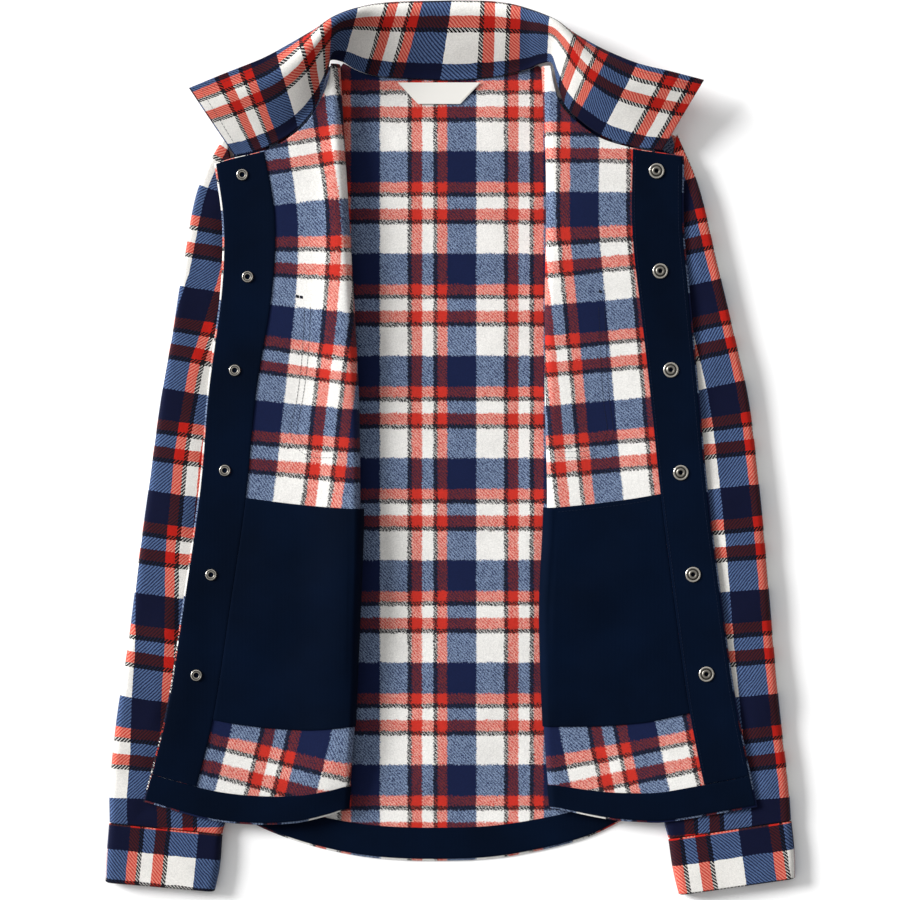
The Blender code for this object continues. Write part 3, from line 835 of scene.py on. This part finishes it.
def frontPoints(side, across, rows, lift=0.0, bulge=0.0):
    # Middle surface of a front. Across runs from 0 at the side seam along the under layer to 1, round
    # the fold to 2 and along the turned-back layer to 3 at the edge, and rows from the hem to the neck.
    cut = fronts[side]
    inward = cut["towardMiddle"]
    rows = np.asarray(rows, float)
    rows = rows[:, None] if rows.ndim == 1 else rows
    across = np.broadcast_to(np.asarray(across, float), np.broadcast_shapes(np.shape(across), rows.shape))
    rows = np.broadcast_to(rows, across.shape)
    foldX, foldY, foldZ, edgeX, edgeY, edgeZ = np.moveaxis(spline(cut["rows"], rows), -1, 0)
    sideX, sideY = np.moveaxis(spline(sides[side], rows), -1, 0)
    lowZ = 1.5 * cloth + seam + (hemTop - bodyTop) * (1 - smooth(rows / 0.13))
    radius = (foldZ - lowZ) / 2
    centreX = foldX - inward * (radius + cloth / 2)
    nearHem, nearNeck = (1 - rows) ** 4, rows ** 4
    under = np.clip(1 - across, 0, 1)
    over = np.clip(across - 2, 0, 1)
    turn = np.radians(180 * np.clip(across - 1, 0, 1) - 90)
    reach = inward * np.where((across >= 1) & (across <= 2), np.cos(turn), 0.0)
    height = np.where(across < 1, -1.0, np.where(across > 2, 1.0, np.sin(turn)))
    stand = lift + bulge * np.where((across > 1) & (across < 2), np.cos(turn), 0.0)
    below = bow(cut["underHem"], under) * nearHem[..., None]
    above = bow(cut["hem"], over) * nearHem[..., None] + bow(cut["neck"], over) * nearNeck[..., None]
    x = mixed(mixed(centreX, sideX, under), edgeX, over) + below[..., 0] + above[..., 0]
    y = mixed(mixed(foldY, sideY, under), edgeY, over) + below[..., 1] + above[..., 1]
    z = (foldZ + lowZ) / 2 + height * radius + (edgeZ - foldZ) * over
    seed = 11 if side == "left" else 23
    soft = frontLook["ripple"] * unevenness(x, y, seed, 90, 240)
    soft = soft + creaseField(x, y, frontLook["creases"][side])
    topWeight = smooth((across - 1.35) / 0.65)
    z = z + topWeight * np.clip(soft, -0.9, 2.2)
    # the thick cloth stands up in a soft roll along the fold
    roll = smooth(across - 1) * np.exp(-(over / frontLook["rollWidth"]) ** 2)
    roll = roll * smooth(rows / 0.12) * smooth((1 - rows) / 0.16)
    z = z + frontLook["roll"][side] * roll * (1.0 + 0.25 * np.sin(y / 37.0 + seed))
    return np.stack([x + reach * (radius + stand), y, z + height * stand], axis=-1)


def frontWidth(side, rows):
    # Width of the turned-back layer, from the fold to the edge
    fold = frontPoints(side, [2.0], rows)
    edge = frontPoints(side, [3.0], rows)
    return np.linalg.norm((edge - fold)[..., :2], axis=-1)


def frontShares(side, across, rows):
    edge = frontPoints(side, [3.0], np.linspace(0, 1, 24))[:, 0, :2]
    flat = frontPoints(side, np.maximum(across, 2.0), rows)
    u, v = footCoordinates(edge, flat[..., 0], flat[..., 1])
    # round the fold and on the under layer the grain runs on from the fold
    turned = np.clip(2 - across, 0, 1) * frontLook["foldGirth"]
    turned = turned + np.clip(1 - across, 0, 1) * np.abs(frontWidth(side, rows))
    u = u + fronts[side]["towardMiddle"] * turned
    return grainShares(u, v, frontGrain[side])


def hump(count):
    # Rises from 0 to 1 and falls back to 0
    return np.sin(np.linspace(0, math.pi, count))


frontPieces, lapelTops = {}, {}
for side in ("left", "right"):
    rows = np.linspace(0, 1, frontLook["rows"])
    lapel = np.linspace(2, 3, frontLook["lapelColumns"])
    across = np.concatenate([np.linspace(0, 1, 24)[:-1], np.linspace(1, 2, 15), lapel[1:]])
    grid = frontPoints(side, across, rows)
    grain = frontShares(side, *np.broadcast_arrays(across[None, :], rows[:, None]))
    piece, _ = clothShell("shacket front " + side, grid, grain, shellWall, brushed)
    frontPieces["front_" + side] = piece
    lapelGrid = frontPoints(side, np.linspace(1.6, 3, 90), rows, cloth / 2)
    lapelTops[side] = upright(lapelGrid.reshape(-1, 3), surfaceNormals(lapelGrid).reshape(-1, 3))

    # hem facing, from round the fold to the front edge
    rows = np.linspace(0.003, hemBand * firstRow, 12)
    outer = 3.0 - rim / frontWidth(side, rows)
    span = np.concatenate([np.linspace(1.5, 2, 8), np.linspace(2, 3, 60)[1:]])
    band = frontPoints(side, np.minimum(span[None, :], outer), rows, facingLift)
    piece, _ = navyPiece("hem facing " + side, band)
    frontPieces["hem_facing_" + side] = piece

    # placket facing, which swells a little between its seams
    rows = np.linspace(hemBand * firstRow + 0.0002, 0.998, 200)
    width = frontWidth(side, rows)
    inner, outer = 3.0 - (placketFacing + 0.25) / width, 3.0 - rim / width
    strip = mixed(inner, outer, np.linspace(0, 1, 16)[None, :])
    band = frontPoints(side, strip, rows, facingLift)
    swell = frontLook["facingSwell"] * (1 + unevenness(band[..., 0], band[..., 1], 31, 30, 110))
    band[..., 2] += swell * hump(16)[None, :]
    piece, top = navyPiece("placket facing " + side, band)
    frontPieces["placket_facing_" + side] = piece
    lapelTops["facing_" + side] = upright(top["points"], top["normals"])

    # hand-pocket bag, from round the fold to the placket facing
    rows = np.linspace(firstRow, 3 * firstRow, 70)
    inner = 3.0 - (placketFacing + seam) / frontWidth(side, rows)
    turned = np.broadcast_to(np.linspace(1 + 1 / 3, 2, 12), (len(rows), 12))
    bag = np.hstack([turned, mixed(2.0, inner, np.linspace(0, 1, 44)[None, 1:])])
    bulge = bagBulge * smooth(np.linspace(0, 1, len(rows)))[:, None]
    grid = frontPoints(side, bag, rows, facingLift, bulge)
    soft = hump(grid.shape[0])[:, None] * hump(grid.shape[1])[None, :]
    puff = frontLook["bagPuff"] * soft * (1.1 + unevenness(grid[..., 0], grid[..., 1], 37, 50, 150))
    grid[..., 2] += np.where(bag > 2, puff, 0.0)
    piece, top = navyPiece("pocket bag " + side, grid)
    frontPieces["pocket_bag_" + side] = piece
    lapelTops["bag_" + side] = upright(top["points"], top["normals"])
print("fronts done", flush=True)


# Sleeves and cuffs

sleeveLook = {
    "rows": 190,
    "ringColumns": 34,
    "edgeGirth": 8.0,   # mm of cloth round the outer edge
    "dome": 2.2,        # mm that the free part swells
    "creases": {
        "left": [
            (-300, -200, -262, -250, 16, 2.0),
            (-292, -120, -250, -170, 18, 1.6),
            (-270, -10, -240, -70, 16, 1.3),
            (-300, -290, -230, -300, 12, -1.2),
            (-246, 140, -226, 60, 14, 1.0),
        ],
        "right": [
            (300, -210, 262, -260, 16, 2.0),
            (290, -110, 252, -160, 18, 1.6),
            (276, 0, 246, -60, 16, 1.3),
            (300, -285, 232, -305, 12, -1.2),
            (250, 140, 228, 60, 14, 1.0),
        ],
    },
}
sleeveGrain = {
    "left": {
        "across": (0.0, 88.0),
        "up": (0.245, -93.0),
        "places": (65, 155, 245, 335, 425, 500, 560),
        "acrossDrift": (-0.19, -0.09, 0.03, 0.08, 0.06, -0.08, -0.10),
        "upDrift": (0.0,) * 7,
    },
    "right": {"across": (-0.585, 87.0), "up": (0.228, -94.3)},
}
cuffGrain = {
    "left": {"across": (-0.76, 88.0), "up": (-0.751, 92.0)},
    "right": {"across": (-0.70, 90.5), "up": (-0.73, 92.0)},
}


def bodyEdge(side, y):
    # How far the body reaches from the middle line
    xs, ys = np.array(sides[side], float).T
    beyond = np.maximum(ys[0] - y, 0.0)
    return np.abs(np.interp(y, ys, xs)) - beyond


def floorHeight(side, x, y):
    # Top of what a sleeve lies on: the table, or the body's layers at their edge
    outside = np.abs(x) - bodyEdge(side, y)
    low, high = hemRise
    top = mixed(hemTop, bodyTop, smooth((y - low) / (high - low)))
    return top * smooth((footRamp[0] - outside) / (footRamp[0] - footRamp[1]))


def sleeveRing(side, row, wall, columns):
    # From the outer edge along the underside and back over the top, and each point's share of the top
    outer, inner, top = np.array(row[0:2]), np.array(row[2:4]), row[4] - wall
    width = np.linalg.norm(inner - outer)
    way = (inner - outer) / width
    ends = np.stack([outer, inner])
    low = floorHeight(side, ends[:, 0], ends[:, 1]) + wall
    turnOut, turnIn = (top - low[0]) / 2, (top - low[1]) / 2
    begin, end = wall + turnOut, width - wall - turnIn
    at = np.linspace(begin, end, columns)
    line = outer + way * at[:, None]
    bottomZ = floorHeight(side, line[:, 0], line[:, 1]) + wall
    turn = np.radians(np.linspace(-90, 90, 11)[1:-1])
    toTop = smooth((np.sin(turn) + 0.2) / 1.2)
    innerTurn = [end + turnIn * np.cos(turn), top - turnIn * (1 - np.sin(turn)), toTop]
    outerTurn = [begin - turnOut * np.cos(turn), top - turnOut * (1 - np.sin(turn)), toTop]
    ring = np.concatenate([
        np.stack([at, bottomZ, np.zeros(columns)], axis=1),
        np.stack(innerTurn, axis=1),
        np.stack([at[::-1], np.full(columns, top), np.ones(columns)], axis=1),
        np.stack(outerTurn, axis=1)[::-1],
    ])
    plan = outer + way * ring[:, :1]
    return np.concatenate([plan, ring[:, 1:2]], axis=1), ring[:, 2]


def sleeveSoftness(side, x, y):
    # Creases on the free part of the sleeve, outside the front that lies on it
    edge = np.array([(abs(row[3]), row[4]) for row in fronts[side]["rows"]])
    free = smooth((np.abs(x) - np.interp(y, edge[:, 1], edge[:, 0]) + 4) / 16)
    free = np.maximum(free, smooth((-322 - y) / 12))
    calm = smooth((y + 346) / 24) * smooth((270 - y) / 30)
    seed = 51 if side == "left" else 63
    soft = sleeveLook["dome"] * (0.6 + 0.7 * unevenness(x, y, seed, 50, 150))
    soft = soft + creaseField(x, y, sleeveLook["creases"][side])
    return free * calm * np.clip(soft, -1.4, 3.4)


def allRings(side, sections, wall):
    rings, topShares = zip(*[sleeveRing(side, row, wall, sleeveLook["ringColumns"]) for row in sections])
    return np.array(rings), np.array(topShares)


sleevePieces = {}
for side in ("left", "right"):
    sign = 1 if side == "left" else -1
    line = even([row[:2] for row in sleeves[side]][::-1], np.linspace(0, 1, 30))
    sections = spline(sleeves[side], np.linspace(0, 1, sleeveLook["rows"]))
    made = []
    for wall in (0.0, shellWall):
        rings, onTop = allRings(side, sections, wall)
        rings[..., 2] += onTop * sleeveSoftness(side, rings[..., 0], rings[..., 1])
        made.append(rings)
    u, v = footCoordinates(line, made[0][..., 0], made[0][..., 1])
    # the check runs on round the outer edge to the underside
    u = np.where(onTop < 0.5, -u - sign * sleeveLook["edgeGirth"], u)
    grain = grainShares(u, v, sleeveGrain[side])
    sleevePieces["sleeve_" + side] = clothTube("shacket sleeve " + side, made[0], made[1], grain, twill)

    sections = np.insert(spline(cuffs[side], np.linspace(0, 1, 26)), 4, cuffTop, axis=1)
    made = []
    for wall in (0.0, cuffWall):
        rings, onTop = allRings(side, sections, wall)
        rings[..., 2] += onTop * 0.5 * (1 + unevenness(rings[..., 0], rings[..., 1], 71, 40, 120))
        made.append(rings)
    first = np.array(cuffs[side][0])
    origin, way = first[2:4], (first[0:2] - first[2:4]) * -sign
    way = way / np.linalg.norm(way)
    x, y = made[0][..., 0] - origin[0], made[0][..., 1] - origin[1]
    u, v = x * way[0] + y * way[1], y * way[0] - x * way[1]
    u = np.where(onTop < 0.5, -u - sign * sleeveLook["edgeGirth"], u)
    # the turned-in cloth at the cuff's seam comes from another place in the check
    v = v + np.where(v > -1.3, 7.0, 0.0)
    grain = np.stack([shares(u, cuffGrain[side]["across"]), shares(v, cuffGrain[side]["up"])], axis=-1)
    sleevePieces["cuff_" + side] = clothTube("shacket cuff " + side, made[0], made[1], grain, twill)
print("sleeves done", flush=True)


# Collar

collarLook = {
    "rows": 240,
    "steps": 44,
    "ripple": 0.9,
    "shellWall": 1.5,
    "sewingInset": 7.0,
    "edgeLength": 555.0,
}
# share of a repeat at each place along the collar's edge, and outward from the neck seam
collarGrain = {"places": (0.0, 0.5, 1.0), "along": (0.01, -2.93, -5.69), "out": (0.15, -93.0)}


def collarSection(row, steps):
    # From the neck seam out to the collar's edge: it rises, turns over and falls
    start, height, outer, (rise, fall) = row[0:2], row[2], row[3:5], row[5:7]
    first, second, third = collarBends
    distance = np.linspace(0.0, collarWidth, steps)
    fine = np.linspace(0.0, collarWidth, 181)
    slope = rise * smooth(fine / first) + (fall - rise) * smooth((fine - second) / (third - second))
    slope = np.radians(slope)
    step = fine[1] - fine[0]
    reach = np.concatenate([[0.0], np.cumsum(np.cos(slope[:-1]) * step)])
    climb = np.concatenate([[0.0], np.cumsum(np.sin(slope[:-1]) * step)])
    span = (outer - start) / reach.max()
    plan = start + span * np.interp(distance, fine, reach)[:, None]
    return np.column_stack([plan, height + np.interp(distance, fine, climb)])


sections = spline(collar, np.linspace(0, 1, collarLook["rows"]))
grid = np.array([collarSection(row, collarLook["steps"]) for row in sections])
edgeRun = np.concatenate([[0.0], np.cumsum(np.linalg.norm(np.diff(sections[:, 3:5], axis=0), axis=1))])
edgeRun /= edgeRun[-1]
distance = np.linspace(0.0, collarWidth, collarLook["steps"])
grain = np.stack(np.broadcast_arrays(
    np.interp(edgeRun, collarGrain["places"], collarGrain["along"])[:, None],
    shares(distance, collarGrain["out"])[None, :],
), axis=-1)
normals = -surfaceNormals(grid)
ripple = collarLook["ripple"] * unevenness(grid[..., 0], grid[..., 1], 81, 60, 170)
ripple = np.clip(ripple * smooth((distance - 12) / 30)[None, :], -0.7, 1.4)
grid = grid + normals * ripple[..., None] * smooth((grid[..., 2:3] - 8) / 10)
halfApart = (collarLayer + seam) / 2
collarPieces, collarTops = {}, {}
for layer, away in (("upper", halfApart), ("under", -halfApart)):
    # turned round, so that the shell's upper side faces up
    sheet = (grid + normals * away)[:, ::-1]
    piece, top = clothShell("shacket collar " + layer, sheet, grain[:, ::-1], collarLook["shellWall"], twill)
    collarPieces["collar_" + layer] = piece
    collarTops[layer] = top
print("collar done", flush=True)


# Label and snaps

labelLook = {
    "top": 37.5,                # half of its width at the neck seam
    "bottom": 19.0,             # half of its width at the lower edge
    "depth": 19.5,
    "middle": (-10.0, 331.5),   # of the upper edge
    "gap": 0.9,                 # mm of air under it
    "wave": 0.25,
    "thickness": 0.45,
}
down = np.linspace(0, 1, 16)[:, None]
halfWidth = mixed(labelLook["top"], labelLook["bottom"], down)
x = labelLook["middle"][0] + halfWidth * np.linspace(-1, 1, 40)[None, :]
y = labelLook["middle"][1] - labelLook["depth"] * down + 0 * x
z = cloth + seam + labelWall / 2 + labelLook["gap"] + labelLook["wave"] * unevenness(x, y, 91, 25, 60)
grid = np.stack([x, y, z], axis=-1)[:, ::-1]
label, labelTop = clothShell("neck label", grid, grid[..., :2] * mm, labelLook["thickness"], satin)

# Turned sections of the snaps: radius, height, how far rubbed bright
snapLook = {
    "left": {
        "name": "snap_socket",
        "inset": 21.3,
        "y": [247, 155, 71, -19, -112, -202],
        "section": [
            (2.1, 0.0, 0.0), (5.3, 0.0, 0.3), (5.35, 0.35, 0.6), (5.1, 0.8, 0.9),
            (4.8, 1.25, 1.0), (4.4, 1.5, 0.9), (4.0, 1.4, 0.2), (3.6, 1.0, 0.0),
            (3.2, 1.05, 0.4), (2.8, 1.2, 0.8), (2.4, 1.0, 0.3), (2.1, 0.5, 0.0),
        ],
    },
    "right": {
        "name": "snap_stud",
        "inset": 22.5,
        "y": [250, 161, 71, -20, -112, -202],
        "section": [
            (1.5, 0.0, 0.0), (7.0, 0.0, 0.4), (7.05, 0.3, 0.7), (6.8, 0.9, 1.0), (6.3, 1.25, 1.0),
            (5.7, 1.2, 0.8), (5.1, 0.75, 0.15), (4.4, 0.7, 0.0), (4.1, 1.5, 0.15), (3.8, 2.0, 0.4),
            (3.0, 2.15, 0.45), (2.2, 2.0, 0.2), (1.7, 1.6, 0.0), (1.5, 1.0, 0.0),
        ],
    },
}
snapTurns = 48                                      # points round a snap
snapLift = cloth / 2 + seam + facing + seam + 0.1   # from the middle of the cloth to a snap's foot
snapPieces = {}
for side in ("left", "right"):
    spec = snapLook[side]
    section = spec["section"]
    fine = np.linspace(0.02, 0.99, 400)
    inset = 3.0 - spec["inset"] / frontWidth(side, fine)
    line = frontPoints(side, inset, fine, snapLift)[:, 0]
    for number, height in enumerate(spec["y"], start=1):
        nearest = int(np.argmin(np.abs(line[:, 1] - height)))
        centre = line[nearest] + (0, 0, 0.1)
        # the snap stands square on the facing
        along = line[nearest + 3] - line[nearest - 3]
        beside = inset[nearest] + np.array([[-0.02, 0.02]])
        near = frontPoints(side, beside, np.array([fine[nearest]]), snapLift)[0]
        up = np.cross(near[1] - near[0], along)
        up *= math.copysign(1.0, up[2]) / np.linalg.norm(up)
        east = np.cross([0.0, 1.0, 0.0], up)
        east /= np.linalg.norm(east)
        north = np.cross(up, east)
        points = []
        for turn in np.linspace(0, 2 * math.pi, snapTurns, endpoint=False):
            spoke = east * math.cos(turn) + north * math.sin(turn)
            points.extend(centre + spoke * radius + up * rise for radius, rise, _ in section)
        rubbed = np.array([(bright, 0.0) for _, _, bright in section] * snapTurns)
        index = np.arange(snapTurns * len(section)).reshape(snapTurns, len(section))
        across = np.roll(index, -1, axis=0)
        faces = np.stack([index, across, np.roll(across, -1, 1), np.roll(index, -1, 1)], axis=-1)
        node = f"{spec['name']}_{number}"
        snapPieces[node] = meshObject(node + " metal", np.array(points), faces.reshape(-1, 4), rubbed, nickel)
print("label and snaps done", flush=True)


# Sewing

# Chest pocket sewing, seen on the inside of each front: x, y of the outer line and of the bar tack
pocketSewing = {
    "left": {
        "lines": [
            [
                (-130.8, 128), (-131.5, 110), (-134, 75), (-138, 45), (-143, 22),
                (-142, 10), (-135, -1), (-124, -6.5), (-108, -7.2), (-92, -7.2),
            ],
            [
                (-125.4, 128), (-126, 110), (-128.6, 75), (-132.6, 46), (-137, 23),
                (-136.5, 13), (-131, 4.5), (-123, -1.3), (-108, -1.8), (-92, -1.8),
            ],
        ],
        "tack": [(-139, 138), (-131, 136.5)],
    },
    "right": {
        "lines": [
            [
                (138.5, 128), (139.5, 105), (141, 70), (143.5, 40), (146.5, 18),
                (143, 6), (134, -2), (122, -6.5), (105, -7.2), (92, -7.2),
            ],
            [
                (133.1, 128), (134.1, 105), (135.6, 70), (138.1, 40), (141, 19),
                (138, 9.5), (130.5, 3), (120.5, -1.3), (105, -1.8), (92, -1.8),
            ],
        ],
        "tack": [(133, 142.5), (139, 141)],
    },
}
# Length of a stitch, the gap to the next one, and the thread's radius
stitches = {
    "chest pocket": (2.4, 0.5, 0.2),
    "bar tack": (3.4, 0.2, 0.34),
    "facing": (2.4, 0.7, 0.2),
    "collar": (2.6, 0.8, 0.2),
    "label": (1.8, 0.6, 0.16),
}
sewing = []
for side in ("left", "right"):
    lapel, strip, bagTop = lapelTops[side], lapelTops["facing_" + side], lapelTops["bag_" + side]
    spec = pocketSewing[side]
    lines = [layOn(lapel, densify(even(path, np.linspace(0, 1, 60)), 1.5)) for path in spec["lines"]]
    row = stitchRow("chest pocket sewing " + side, lines, darkThread, stitches["chest pocket"])
    sewing.append((row, "front_" + side, "plaid"))
    tack = densify(spec["tack"], 0.4)
    lines = [layOn(lapel, tack + (0, off)) for off in (-0.9, -0.3, 0.3, 0.9)]
    row = stitchRow("bar tack " + side, lines, darkThread, stitches["bar tack"])
    sewing.append((row, "front_" + side, "plaid"))

    rows = np.linspace(0.06, 0.985, 260)
    width = frontWidth(side, rows)[:, 0]
    lines = []
    for inset in (placketFacing - 2.0, rim + 3.0):
        flat = frontPoints(side, (3.0 - inset / width)[:, None], rows)[:, 0, :2]
        lines.append(layOn(strip, flat))
    row = stitchRow("placket facing sewing " + side, lines, navyThread, stitches["facing"])
    sewing.append((row, "placket_facing_" + side, "navy"))

    rows = np.full(60, 3 * firstRow - 0.006)
    flat = frontPoints(side, np.linspace(2.02, 2.64, 60)[:, None], rows)[:, 0, :2]
    row = stitchRow("pocket bag sewing " + side, [layOn(bagTop, flat)], navyThread, stitches["facing"])
    sewing.append((row, "pocket_bag_" + side, "navy"))

# collar sewing: along both ends and the outer edge
collarInset = collarLook["sewingInset"]
shape = (collarLook["rows"], collarLook["steps"])
points = collarTops["upper"]["points"].reshape(*shape, 3)[:, ::-1]
normals = collarTops["upper"]["normals"].reshape(*shape, 3)[:, ::-1]
column = int(round((collarWidth - collarInset) / collarWidth * (shape[1] - 1)))
endRow = int(round(collarInset / collarLook["edgeLength"] * shape[0]))
lines = [
    (points[endRow:-endRow, column], normals[endRow:-endRow, column]),
    (points[endRow, 2:column], normals[endRow, 2:column]),
    (points[-1 - endRow, 2:column], normals[-1 - endRow, 2:column]),
]
row = stitchRow("collar sewing", lines, darkThread, stitches["collar"])
sewing.append((row, "collar_upper", "plaid"))

labelX = labelLook["middle"][0]
lines = []
for way in (-1, 1):
    upper = (labelX + way * (labelLook["top"] - 1.6), 331.0)
    lower = (labelX + way * (labelLook["bottom"] - 1.0), 313.4)
    lines.append(layOn(labelTop, densify([upper, lower], 1.0)))
row = stitchRow("label sewing", lines, paleThread, stitches["label"])
sewing.append((row, "neck_label", "satin"))
print("sewing done", flush=True)


# Hang each piece and its sewing on the root body, and hide the solid that each piece stands in for

pieces = {
    "back": back,
    "hem_facing_back": hemBack,
    "neck_label": label,
    **frontPieces,
    **sleevePieces,
    **collarPieces,
    **snapPieces,
}
navyNodes = ("placket_facing", "hem_facing", "pocket_bag")
for node, piece in pieces.items():
    if node.startswith(navyNodes):
        slot = "navy"
    elif node.startswith("snap"):
        slot = "metal"
    else:
        slot = "satin" if node == "neck_label" else "plaid"
    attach(piece, "root")
    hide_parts(node)
sewnOn = {}
for piece, node, slot in sewing:
    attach(piece, "root")
    sewnOn.setdefault(node, []).append(piece)


# Table, light and camera

studio = {
    "tableSize": 8.0,      # m
    "tableTop": -0.0002,   # m, just under the garment
    "floorColour": "#FFFFFF",
    "skyStrength": 0.57,
    "windowSide": (-0.72, 0.69, 0.0),
    "windowShare": 0.45,   # how much brighter the sky is there, and darker opposite
    "sunStrength": 4.9,
    "sunFrom": (-1.0, 0.42, 0.53),
    "sunAngle": 24.0,
    "lens": 135.0,
    "sensorWidth": 36.0,
    "frameWidth": 0.810,   # m of the table across the picture
    "aim": (-0.0003, -0.0017, 0.012),
}
bpy.ops.mesh.primitive_plane_add(size=studio["tableSize"], location=(0, 0, studio["tableTop"]))
floor = bpy.context.object
floor.name = "table"
# Matt white paper sweep under the garment: even and almost without a gloss
floorMaterial, _, _ = newMaterial("white paper sweep", {
    "Base Color": linear(studio["floorColour"]), "Roughness": 0.9, "Specular IOR Level": 0.1,
})
floor.data.materials.append(floorMaterial)

world = bpy.data.worlds.new("studio")
bpy.context.scene.world = world
world.use_nodes = True
# a white sky that is brighter towards the window side
sky = world.node_tree
direction = addNode(sky, "TexCoord").outputs["Generated"]
toward = addNode(sky, "VectorMath", {0: direction, 1: studio["windowSide"]}, operation="DOT_PRODUCT")
strength = addNode(sky, "Math", {
    0: toward.outputs["Value"], 1: studio["windowShare"], 2: studio["skyStrength"],
}, operation="MULTIPLY_ADD")
background = sky.nodes["Background"]
background.inputs["Color"].default_value = (1.0, 1.0, 1.0, 1.0)
sky.links.new(strength.outputs[0], background.inputs["Strength"])

key = bpy.data.lights.new("key", "SUN")
key.energy = studio["sunStrength"]
key.angle = math.radians(studio["sunAngle"])
keyLight = bpy.data.objects.new("key", key)
bpy.context.scene.collection.objects.link(keyLight)
keyLight.location = studio["sunFrom"]
keyLight.rotation_euler = (-Vector(studio["sunFrom"])).to_track_quat("-Z", "Y").to_euler()

camera = bpy.data.cameras.new("camera")
camera.type = "PERSP"
camera.lens = studio["lens"]
camera.sensor_width = studio["sensorWidth"]
camera.clip_end = 20.0
cameraObject = bpy.data.objects.new("camera", camera)
bpy.context.scene.collection.objects.link(cameraObject)
aim = studio["aim"]
cameraHeight = aim[2] + studio["frameWidth"] * studio["lens"] / studio["sensorWidth"]
cameraObject.location = (aim[0], aim[1], cameraHeight)
cameraObject.rotation_euler = (0.0, 0.0, 0.0)
bpy.context.scene.camera = cameraObject
bpy.context.scene.view_settings.view_transform = "Standard"

print("scene done", flush=True)
